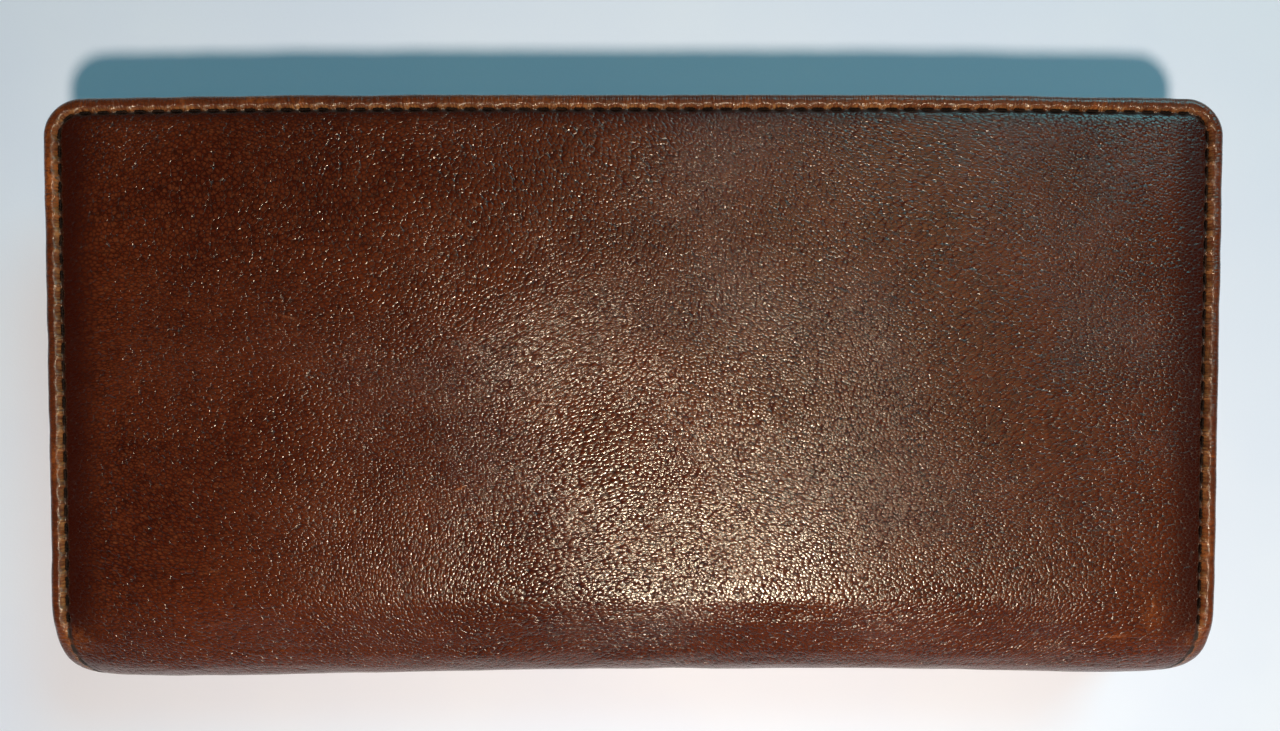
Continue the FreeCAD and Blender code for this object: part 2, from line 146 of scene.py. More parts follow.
# ------------------------------------------------------------------ node material helpers
class Mat:
    def __init__(self, name):
        self.m = bpy.data.materials.new(name)
        self.m.use_nodes = True
        self.t = self.m.node_tree
        self.t.nodes.clear()
        self.out = self.t.nodes.new("ShaderNodeOutputMaterial")
        self.bsdf = self.t.nodes.new("ShaderNodeBsdfPrincipled")
        self.t.links.new(self.bsdf.outputs[0], self.out.inputs[0])

    def set(self, **kw):
        for k, v in kw.items():
            self.bsdf.inputs[k.replace("_", " ")].default_value = v
        return self

    def node(self, kind, **props):
        n = self.t.nodes.new(kind)
        for k, v in props.items():
            setattr(n, k, v)
        return n

    def link(self, a, b):
        self.t.links.new(a, b)

    def put(self, sock, val):
        if isinstance(val, bpy.types.NodeSocket):
            self.link(val, sock)
        else:
            sock.default_value = val

    def math(self, op, a, b=0.0, c=None, clamp=False):
        n = self.node("ShaderNodeMath", operation=op, use_clamp=clamp)
        self.put(n.inputs[0], a)
        self.put(n.inputs[1], b)
        if c is not None:
            self.put(n.inputs[2], c)
        return n.outputs[0]

    def remap(self, x, a, b, c=0.0, d=1.0, smooth=True):
        n = self.node("ShaderNodeMapRange", interpolation_type="SMOOTHSTEP" if smooth else "LINEAR")
        self.put(n.inputs[0], x)
        for i, v in enumerate((a, b, c, d)):
            self.put(n.inputs[i + 1], v)
        return n.outputs[0]

    def mix(self, f, a, b, mode="MIX"):
        n = self.node("ShaderNodeMix", data_type="RGBA", blend_type=mode)
        self.put(n.inputs[0], f)
        self.put(n.inputs[6], a)
        self.put(n.inputs[7], b)
        return n.outputs[2]

    def mapping(self, vec, scale=(1, 1, 1), rot=(0, 0, 0), loc=(0, 0, 0)):
        n = self.node("ShaderNodeMapping")
        self.link(vec, n.inputs[0])
        n.inputs["Scale"].default_value = scale
        n.inputs["Rotation"].default_value = rot
        n.inputs["Location"].default_value = loc
        return n.outputs[0]

    def noise(self, vec, scale, detail=3.0, rough=0.5, dist=0.0, dims="3D", out=0):
        n = self.node("ShaderNodeTexNoise", noise_dimensions=dims)
        self.put(n.inputs["Vector"], vec)
        n.inputs["Scale"].default_value = scale
        n.inputs["Detail"].default_value = detail
        n.inputs["Roughness"].default_value = rough
        n.inputs["Distortion"].default_value = dist
        return n.outputs[out]

    def voronoi(self, vec, scale, feature="DISTANCE_TO_EDGE", rnd=1.0, out=0, dims="3D"):
        n = self.node("ShaderNodeTexVoronoi", feature=feature, voronoi_dimensions=dims)
        self.put(n.inputs["Vector"], vec)
        n.inputs["Scale"].default_value = scale
        n.inputs["Randomness"].default_value = rnd
        return n.outputs[out]

    def wave(self, vec, scale, axis="X", dist=0.0, profile="SIN"):
        n = self.node("ShaderNodeTexWave", wave_type="BANDS", bands_direction=axis, wave_profile=profile)
        self.put(n.inputs["Vector"], vec)
        n.inputs["Scale"].default_value = scale
        n.inputs["Distortion"].default_value = dist
        return n.outputs[1]

    def vmath(self, op, a, b=None, scale=None):
        n = self.node("ShaderNodeVectorMath", operation=op)
        self.put(n.inputs[0], a)
        if b is not None:
            self.put(n.inputs[1], b)
        if scale is not None:
            self.put(n.inputs[3], scale)
        return n.outputs[0] if op not in ("LENGTH", "DISTANCE", "DOT_PRODUCT") else n.outputs[1]

    def attr(self, name, out="Vector"):
        n = self.node("ShaderNodeAttribute", attribute_name=name)
        return n.outputs[out]

    def object_mm(self):
        n = self.node("ShaderNodeTexCoord")
        return self.vmath("SCALE", n.outputs["Object"], scale=1000.0)

    def bump(self, height, dist_mm, strength=1.0, normal=None):
        n = self.node("ShaderNodeBump")
        n.inputs["Strength"].default_value = strength
        n.inputs["Distance"].default_value = dist_mm * 0.001
        self.put(n.inputs["Height"], height)
        if normal is not None:
            self.link(normal, n.inputs["Normal"])
        return n.outputs[0]


def rgb(r, g, b):
    """sRGB 0-255 to linear."""
    def f(c):
        c = c / 255.0
        return c / 12.92 if c <= 0.04045 else ((c + 0.055) / 1.055) ** 2.4
    return (f(r), f(g), f(b), 1.0)


def grain(k, co, size=0.58, flow=1.0, angle=-0.2, stretch=(0.90, 1.14)):
    """Pebbled leather grain that drifts in direction: warped coordinates, height 0 in the creases to 1 on the pebbles, and the crease mask."""
    w = k.vmath("SUBTRACT", k.noise(co, 0.017, 1.0, 0.5, out=1), (0.5, 0.5, 0.5))
    c0 = k.vmath("ADD", co, k.vmath("SCALE", w, scale=30.0 * flow))
    c0 = k.mapping(c0, scale=(stretch[0], stretch[1], 1.0), rot=(0, 0, angle))
    w2 = k.vmath("SUBTRACT", k.noise(c0, 0.9, 2.0, 0.5, out=1), (0.5, 0.5, 0.5))
    c1 = k.vmath("ADD", c0, k.vmath("SCALE", w2, scale=0.30))
    cells = k.voronoi(c1, 1.0 / size)
    fine = k.voronoi(c1, 2.2 / size)
    round_ = k.voronoi(c1, 1.0 / size, feature="F1")
    r2 = k.math("MULTIPLY", round_, round_)
    dome = k.math("SUBTRACT", 1.0, k.math("ADD", k.math("MULTIPLY", r2, 0.6), k.math("MULTIPLY", k.math("MULTIPLY", r2, r2), 2.5)))
    h = k.math("ADD", k.math("MULTIPLY", dome, 0.90), k.math("MULTIPLY", k.remap(fine, 0.0, 0.30), 0.07))
    h = k.math("ADD", h, k.math("MULTIPLY", k.remap(cells, 0.0, 0.14), 0.10))
    return c0, h, k.remap(cells, 0.0, 0.16, 1.0, 0.0)


def leather(name, dark, mid, light, wear, coords="leather_co", size=0.58, rough=(0.12, 0.165), depth=0.062, spec=0.66, edge=True, marks=(), flow=1.0, crease_shade=0.70, rim=False):
    k = Mat(name)
    co = k.attr(coords) if coords else k.object_mm()
    c0, peb, crease = grain(k, co, size, flow)
    # long fine creases along the flow
    wr = k.noise(k.mapping(c0, scale=(0.16, 0.95, 1.0)), 1.0, 3.0, 0.62)
    line = k.remap(k.math("ABSOLUTE", k.math("SUBTRACT", wr, 0.5)), 0.0, 0.045, 1.0, 0.0)
    wr2 = k.noise(k.mapping(c0, scale=(0.34, 1.9, 1.0), rot=(0, 0, 0.5)), 1.0, 2.0, 0.6)
    line2 = k.remap(k.math("ABSOLUTE", k.math("SUBTRACT", wr2, 0.5)), 0.0, 0.05, 1.0, 0.0)
    lines = k.math("MAXIMUM", k.math("MULTIPLY", line, 0.7), k.math("MULTIPLY", line2, 0.5))
    gate = k.remap(k.noise(co, 0.06, 2.0), 0.40, 0.62, 0.25, 1.0)
    lines = k.math("MULTIPLY", lines, gate)
    soft = k.noise(co, 0.13, 3.0, 0.55)
    patch = k.noise(co, 0.030, 2.0, 0.5)
    # colour: slow drift of the dye, finer mottling, and painted shade darkening the creases
    tone = k.math("ADD", k.math("MULTIPLY", patch, 0.6), k.math("MULTIPLY", soft, 0.4))
    base = k.mix(k.remap(tone, 0.34, 0.68), dark, mid)
    fleck = k.noise(c0, 1.5, 3.0, 0.65)
    base = k.mix(k.math("MULTIPLY", k.remap(fleck, 0.52, 0.74), 0.50), base, light)
    rub = k.math("MULTIPLY", k.remap(k.noise(co, 0.35, 4.0, 0.72), 0.58, 0.74), 0.30)
    base = k.mix(rub, base, light)
    deep = tuple(c * 0.22 for c in dark[:3]) + (1.0,)
    # painted shade: the creases between the pebbles are darkened
    base = k.mix(k.math("MULTIPLY", crease, crease_shade), base, deep)
    # painted highlight: the pebble tops are lightened
    base = k.mix(k.math("MULTIPLY", k.remap(peb, 0.80, 1.02), 0.24), base, light)
    # painted shade in the fine creases along the flow
    base = k.mix(k.math("MULTIPLY", lines, 0.45), base, deep)
    height = k.math("SUBTRACT", k.math("MULTIPLY", peb, 0.85), k.math("MULTIPLY", lines, 0.35))
    rgh = k.remap(k.math("ADD", k.math("MULTIPLY", soft, 0.5), k.math("MULTIPLY", fleck, 0.5)), 0.32, 0.68, rough[0], rough[1])
    rgh = k.math("ADD", rgh, k.math("MULTIPLY", crease, 0.15))
    # a few scratches and scuffs, each at its own place on the leather
    for mx, my, ang, lng, wid, amt, kind in marks:
        m = k.mapping(co, loc=(-mx, -my, 0))
        n = k.node("ShaderNodeVectorRotate", rotation_type="Z_AXIS")
        k.link(m, n.inputs["Vector"])
        n.inputs["Angle"].default_value = -ang
        m = n.outputs[0]
        wv = k.vmath("SUBTRACT", k.noise(co, 0.9, 3.0, 0.6, out=1), (0.5, 0.5, 0.5))
        m = k.vmath("ADD", m, k.vmath("SCALE", wv, scale=wid * 2.4))
        m = k.vmath("MULTIPLY", m, (1.0 / lng, 1.0 / wid, 0.0))
        f = k.remap(k.vmath("LENGTH", m), 1.0, 0.35)
        f = k.math("MULTIPLY", f, k.remap(k.noise(co, 2.4, 4.0, 0.8), 0.36, 0.60))
        base = k.mix(k.math("MULTIPLY", f, amt), base, wear if kind else light)
        rgh = k.math("ADD", rgh, k.math("MULTIPLY", f, 0.10))
        height = k.math("SUBTRACT", height, k.math("MULTIPLY", f, 0.05))
    if rim:
        rf = k.attr("rim", "Fac")
        base = k.mix(k.math("MULTIPLY", rf, 0.75), base, deep)
        rgh = k.math("ADD", rgh, k.math("MULTIPLY", rf, -0.06))
    if edge:
        d = k.attr("edge_d", "Fac")
        sco = k.attr("edge_co")
        crest = k.math("MULTIPLY", k.remap(d, -0.6, 0.3), k.remap(d, 2.1, 1.4))
        e1 = k.noise(k.mapping(sco, scale=(1.0, 0.25, 1.0)), 0.11, 4.0, 0.7)
        e2 = k.noise(k.mapping(sco, scale=(1.6, 0.35, 1.0)), 1.0, 3.0, 0.7)
        wmask = k.math("MULTIPLY", k.math("MULTIPLY", k.remap(e1, 0.50, 0.68), k.remap(e2, 0.42, 0.62)), crest)
        # painted highlight: the crest of the turned edge is lightened
        base = k.mix(k.math("MULTIPLY", crest, 0.20), base, light)
        # the seam's beat: leather stands up between the stitches and reaches over the thread line
        sepn = k.node("ShaderNodeSeparateXYZ")
        k.link(sco, sepn.inputs[0])
        beat = k.math("FRACT", k.math("ADD", k.math("MULTIPLY", sepn.outputs[0], 1.0 / PITCH), 200.5))
        beat = k.math("ABSOLUTE", k.math("SUBTRACT", beat, 0.5))
        ragged = k.noise(k.mapping(sco, scale=(4.2, 0.9, 1.0)), 1.0, 3.0, 0.7)
        tooth = k.remap(k.math("ADD", beat, k.math("MULTIPLY", k.math("SUBTRACT", ragged, 0.5), 0.25)), 0.25, 0.13)
        reach = k.math("ADD", 1.95, k.math("MULTIPLY", tooth, 0.60))
        inner = k.remap(k.math("SUBTRACT", reach, d), 0.0, 0.28)
        # painted highlight: a golden glint on the bead's inner slope and on the teeth between the stitches
        painted_glint = k.math("MULTIPLY", k.math("MULTIPLY", k.remap(d, 1.10, 1.65), inner), k.math("MULTIPLY", k.remap(ragged, 0.40, 0.62, 0.10, 1.0), k.remap(e1, 0.40, 0.60, 0.35, 0.85)))
        base = k.mix(k.math("MULTIPLY", painted_glint, 0.80), base, rgb(184, 126, 70))
        hole = k.math("MULTIPLY", k.math("SUBTRACT", 1.0, inner), k.remap(k.math("ADD", d, k.math("MULTIPLY", ragged, 0.4)), 3.15, 2.85))
        base = k.mix(k.math("MULTIPLY", wmask, 0.55), base, wear)
        named = k.attr("wear", "Fac")
        base = k.mix(k.math("MULTIPLY", named, k.remap(k.noise(co, 1.1, 5.0, 0.75), 0.38, 0.62)), base, wear)
        # painted shade along the pressed stitch groove
        seam = k.math("MULTIPLY", k.remap(d, 1.9, 2.2), k.remap(d, 3.3, 2.6))
        base = k.mix(k.math("MULTIPLY", seam, 0.55), base, deep)
        # painted shade: the stitch pits between the teeth are painted near black
        base = k.mix(k.math("MULTIPLY", hole, k.math("SUBTRACT", 0.95, k.math("MULTIPLY", tooth, 0.5))), base, tuple(c * 0.3 for c in deep[:3]) + (1.0,))
        shade = k.attr("shade", "Fac")
        base = k.mix(k.math("MULTIPLY", shade, 0.9), base, tuple(c * f for c, f in zip(dark[:3], (0.50, 0.30, 0.24))) + (1.0,))
        # fine wrinkles across the rim, and a smoother grain there
        wrk = k.noise(k.mapping(sco, scale=(2.6, 0.30, 1.0)), 1.0, 2.0, 0.6)
        rim = k.remap(d, 3.0, 1.6)
        wz = k.math("MULTIPLY", k.remap(wrk, 0.35, 0.65), rim)
        height = k.math("ADD", k.math("MULTIPLY", height, k.math("SUBTRACT", 1.0, k.math("MULTIPLY", rim, 0.75))), k.math("MULTIPLY", wz, 0.75))
        tuck = k.noise(k.mapping(sco, scale=(5.0, 1.3, 1.0)), 1.0, 3.0, 0.7)
        height = k.math("ADD", height, k.math("MULTIPLY", k.math("MULTIPLY", k.remap(tuck, 0.3, 0.7), k.math("MULTIPLY", k.remap(d, 0.8, 1.3), k.remap(d, 2.6, 2.2))), 0.45))
        height = k.math("MULTIPLY", height, k.math("SUBTRACT", 1.0, k.math("MULTIPLY", shade, 0.45)))
        rgh = k.math("ADD", rgh, k.math("ADD", k.math("MULTIPLY", shade, 0.12), k.math("MULTIPLY", hole, 0.40)))
    height = k.math("ADD", height, k.math("MULTIPLY", k.noise(c0, 5.0, 2.0, 0.6), 0.045))
    k.link(base, k.bsdf.inputs["Base Color"])
    k.link(rgh, k.bsdf.inputs["Roughness"])
    k.link(k.bump(height, depth), k.bsdf.inputs["Normal"])
    k.set(Specular_IOR_Level=spec, Specular_Tint=(1.0, 0.92, 0.69, 1.0))
    return k.m


# scratches and rubbed spots: place on the flat leather (mm), direction, half length, half width, strength, 1 = down to the pale core
_OY = 200.0 - YC + VR
MARKS = [(300 - 55.5, _OY + 11.6, -0.25, 2.2, 0.30, 0.8, 0), (300 - 58.0, _OY + 12.3, -0.1, 1.2, 0.22, 0.6, 0), (300 - 27.5, _OY + 26.6, -0.75, 2.8, 0.35, 0.7, 0),
         (300 - 25.3, _OY + 30.0, -0.5, 1.6, 0.35, 0.5, 0), (300 + 6.6, _OY - 1.6, 0.5, 2.2, 0.55, 0.6, 0), (300 + 15.0, _OY + 34.5, 0.9, 2.0, 0.45, 0.5, 0),
         (300 - 68.6, _OY - 29.6, 0.2, 2.6, 0.30, 0.55, 0), (300 - 28.0, _OY - 16.0, 0.4, 1.2, 0.22, 0.7, 1), (300 + 79.4, 212.6, 0.05, 2.6, 0.35, 0.50, 1),
         (300 + 84.6, 218.5, 1.45, 1.8, 0.28, 0.45, 1), (300 + 58.0, _OY - 33.8, 0.1, 3.6, 0.22, 0.45, 0), (300 + 36.5, _OY + 9.0, 0.3, 4.5, 0.20, 0.35, 0),
         (300 - 80.0, _OY + 2.0, 1.2, 3.0, 0.25, 0.35, 0), (300 - 44.0, _OY - 22.0, 0.9, 3.4, 0.22, 0.4, 0), (300 + 66.0, _OY + 22.0, -0.6, 2.6, 0.22, 0.4, 0)]
MARKS += [(300 - x * 0.93 + 4, 200 - (v + 30), a + 0.9, l, w, s, t) for x, v, a, l, w, s, t in
          [(-52, 20, 0.3, 3.2, 0.3, 0.6, 0), (20, 55, -0.4, 4.5, 0.25, 0.5, 0), (61, 38, 0.8, 2.4, 0.3, 0.6, 1), (-20, 62, 0.1, 2.0, 0.4, 0.5, 0)]]
COVER_COLOURS = dict(dark=rgb(68, 21, 8), mid=rgb(95, 36, 14), light=rgb(127, 67, 36), wear=rgb(170, 88, 36))
MAT_COVER = leather("cover_leather", marks=MARKS, **COVER_COLOURS)


# ------------------------------------------------------------------ the cover: leather coordinates to space
_RX = [-100, -79, -68, -57, -45, -34, -23, -11, 10, 45, 57, 68, 79, 100]
_RH = [2.75, 2.65, 2.52, 2.35, 2.10, 1.80, 1.65, 1.45, 1.32, 1.36, 1.48, 1.65, 2.0, 2.2]


def roll_dip(X):
    xs = np.linspace(-100, 100, 401)
    k = np.exp(-np.linspace(-2, 2, 81) ** 2)
    hs = np.convolve(np.pad(np.interp(xs, _RX, _RH), 40, mode="edge"), k / k.sum(), mode="valid")
    return np.interp(X, xs, hs)


def place(X, v, h):
    """X, v: the leather laid flat. The ends of the fold are drawn in, and the open edge bows a little."""
    X, v, h = np.broadcast_arrays(np.asarray(X, float), np.asarray(v, float), np.asarray(h, float))
    pull = np.where(X < 0, 4.6, 5.0) * np.exp(-(np.abs(v) / R / 0.50) ** 1.7)
    x = X - np.sign(X) * pull * sstep(35, 90, np.abs(X))
    vv = v - np.sign(v) * 0.7 * (np.abs(X) / 90) ** 4 * sstep(VE - 40, VE, np.abs(v))
    w = np.cos(np.clip(v / R, -math.pi / 2, math.pi / 2)) ** 2.2
    sh = 2.0 * (1 - np.exp(-0.41 / 2.0 * 0.45 * np.logaddexp(0, (VR + 1.7 - np.abs(v)) / 0.45))) * sstep(0.1 * VR, 0.75 * VR, np.abs(v)) * (1 - 0.75 * sstep(66, 93, np.abs(X)))
    return fold(x, vv, h + roll_dip(X) * w - sh)


BIG = waves(11, 42, 22)
MED = waves(12, 15, 26)
SMALL = waves(13, 5.0, 30)
ROLLW = waves(14, 26, 40, 0.6, aniso=7.0)
ROLLX = waves(15, 14, 40, 0.6, aniso=5.0)
EDGEW = waves(16, 17, 18)
STJ = waves(17, 9.0, 20)


def crown(X, v):
    """Height of the padded panel's surface below its middle, away from the seam."""
    ds = np.maximum(HX - np.abs(X), 2.3)
    dt = np.maximum(VE - np.abs(v), 2.3)
    onroll = sstep(VR + 6, VR - 8, np.abs(v))
    cs = (0.8 - 0.35 * onroll) * np.exp(-(ds - 2.3) / 4.5)
    ct = 0.55 * np.exp(-(dt - 2.3) / 2.0)
    c = -(cs ** 3 + ct ** 3) ** (1 / 3.0)
    far = sstep(2.5, 22, np.minimum(ds, dt))
    u = 0.045 * BIG(X, v) * far + 0.012 * MED(X, v) * sstep(2.5, 9, np.minimum(ds, dt)) + 0.005 * SMALL(X, v) * sstep(2.5, 6, ds)
    roll = sstep(VR + 9, VR - 4, np.abs(v)) * sstep(2.5, 8, ds)
    u = u * (1 - 0.6 * roll) + roll * (0.030 * ROLLW(X, v) + 0.020 * ROLLX(X, v))
    # the board stops at the fold: a faint step where the roll begins
    u = u - 0.10 * np.exp(-((np.abs(v) - VR - 1.5) / 3.0) ** 2) * sstep(3, 14, ds)
    return c + u - 0.05


D_TOP = [5.0, 4.35, 3.85, 3.45, 3.15, 2.92, 2.74, 2.6, 2.46, 2.33, 2.2, 2.07, 1.94, 1.8, 1.64, 1.44, 1.2, 0.95, 0.72, 0.5, 0.32, 0.17, 0.06]
D_BOT = [0.0, 0.06, 0.17, 0.34, 0.6, 0.95, 1.35, 1.7, 1.95, 2.1, 2.3, 2.5, 2.68, 2.95, 3.9, 5.0, 6.4, 7.5, 7.9, 8.0]
D_ALL = np.array(D_TOP + D_BOT + [8.0])
N_TOP = len(D_TOP)
H_IN = -1.2


def strip_height(X, v, s, fade):
    """Heights along the turned edge for each path point (rows) and each inset in D_ALL (columns)."""
    n = len(s)
    ph = (s / PITCH) - np.floor(s / PITCH + 0.5)
    k = np.floor(s / PITCH + 0.5)
    jit = 1 + 0.22 * STJ(k * 3.1, 0.0)
    tooth = np.exp(-(ph / 0.19) ** 2)[:, None] * fade[:, None]
    pit = (1 - np.exp(-((np.abs(ph) - 0.5) / 0.33) ** 2) * 0 - np.exp(-(ph / 0.24) ** 2))[:, None] * fade[:, None] * jit[:, None]
    dt = D_ALL[:N_TOP][None, :]
    de = dt - 0.5 * tooth * np.exp(-((dt - 2.15) / 0.55) ** 2)
    bead = -1.22 + (0.90 + 0.05 * STJ(s, 3.0)[:, None]) * np.sqrt(np.clip(1 - (1 - np.clip(de / 1.05, 0, 1)) ** 2, 0, 1))
    bead = bead - 0.28 * sstep(1.25, 2.0, de) + 0.07 * tooth * np.exp(-((dt - 1.3) / 0.6) ** 2)
    panel = crown(X[:, :N_TOP], v[:, :N_TOP])
    panel = panel - (0.22 * fade[:, None] + 0.55 * pit) * np.exp(-((dt - 2.33) / 0.40) ** 2)
    # where the seam ends, at the fold, the edge is a plain soft turn
    t = sstep(1.55, 2.15, de)
    seam = bead * (1 - t) + panel * t
    plain = -1.22 + (1.22 + crown(X[:, :N_TOP], v[:, :N_TOP])) * np.sqrt(np.clip(1 - (1 - np.clip(dt / 3.2, 0, 1)) ** 2.2, 0, 1))
    f = fade[:, None]
    top = seam * f + plain * (1 - f)
    db = D_ALL[N_TOP:-1][None, :]
    bot = -1.22 - 1.10 * np.sqrt(np.clip(1 - (1 - np.clip(db / 1.05, 0, 1)) ** 2, 0, 1)) - 0.06 * sstep(0.9, 1.6, db)
    bot = bot + (0.12 * f + 0.22 * pit) * np.exp(-((db - 2.3) / 0.33) ** 2)
    bot = bot + 0.30 * sstep(7.4, 8.0, db) ** 2
    return np.concatenate([top, bot, np.full((n, 1), H_IN)], 1)


def corner_c(d):
    return np.where(d <= 5.0, 6.0, d + 1.0)


def path_points(kind, t, d):
    """Flat position of each path sample (rows) at each inset d (columns). kind 0 left side, 1 left arc, 2 top, 3 right arc, 4 right side."""
    kind, t = kind[:, None], t[:, None]
    d = np.broadcast_to(d[None, :], (kind.shape[0], len(d)))
    c = corner_c(d)
    r = c - d
    vs = np.where(t > VE - 20, VE - 20 + (t - VE + 20) * (20 - c) / 14.0, t)
    xt = np.where(np.abs(t) > HX - 20, np.sign(t) * (HX - 20 + (np.abs(t) - HX + 20) * (20 - c) / 14.0), t)
    X = np.select([kind == 0, kind == 1, kind == 2, kind == 3, kind == 4],
                  [-(HX - d), -(HX - c) - r * np.cos(t), xt, (HX - c) + r * np.cos(t), HX - d])
    V = np.select([kind == 0, kind == 1, kind == 2, kind == 3, kind == 4],
                  [vs, VE - c + r * np.sin(t), VE - d, VE - c + r * np.sin(t), vs])
    return X, V


def fine_rows(a, b, step, both=False):
    head = [0, 0.08, 0.18, 0.32, 0.5]
    if both:
        n = int(round((b - a - 1.6) / step))
        return np.array([a + x for x in head] + list(np.linspace(a + 0.8, b - 0.8, n)) + [b - x for x in reversed(head)])
    n = int(round((b - a - 0.8) / step)) + 1
    return np.array([a + x for x in head] + list(np.linspace(a + 0.8, b, n)))


def stitch_fade(v):
    """1 where the edge is sewn, 0 over the roll."""
    return sstep(VR - 6.5, VR - 1.0, np.abs(v))


class Shell:
    def __init__(self):
        self.co, self.lco, self.ed, self.eco, self.faces, self.flat = [], [], [], [], [], []
        self.n = 0

    def add(self, X, V, H, sgn, lco=None, d=None, eco=None):
        """Add points; returns their index array."""
        X, V, H = np.broadcast_arrays(X, V, H)
        P = place(X, V * sgn, H)
        m = X.size
        idx = np.arange(self.n, self.n + m).reshape(X.shape)
        self.n += m
        self.co.append(P.reshape(-1, 3))
        if lco is None:
            lco = np.stack([X, V * sgn, 0 * X], -1)
        self.lco.append(lco.reshape(-1, 3))
        if d is None:
            d = np.minimum(HX - np.abs(X), VE - np.abs(V))
        self.ed.append(np.broadcast_to(d, X.shape).ravel())
        if eco is None:
            eco = np.stack([0 * X, d + 0 * X, 0 * X], -1)
        self.eco.append(eco.reshape(-1, 3))
        return idx

    def quads(self, idx, flip=False):
        a, b, c, e = idx[:-1, :-1].ravel(), idx[1:, :-1].ravel(), idx[1:, 1:].ravel(), idx[:-1, 1:].ravel()
        self.faces += np.stack([a, b, c, e], 1).tolist()

    def zip(self, a, b, flat=False):
        co = np.concatenate(self.co)
        A, B = co[a], co[b]
        i = j = 0
        out = []
        na, nb = len(a) - 1, len(b) - 1
        while i < na or j < nb:
            if j == nb or (i < na and ((A[i + 1] - B[j]) ** 2).sum() <= ((A[i] - B[j + 1]) ** 2).sum()):
                if a[i] != b[j] and a[i + 1] != b[j]:
                    out.append([int(a[i]), int(a[i + 1]), int(b[j])])
                i += 1
            else:
                if a[i] != b[j] and a[i] != b[j + 1]:
                    out.append([int(a[i]), int(b[j + 1]), int(b[j])])
                j += 1
        if flat:
            self.flat += range(len(self.faces), len(self.faces) + len(out))
        self.faces += out


STITCH_LINE = {}


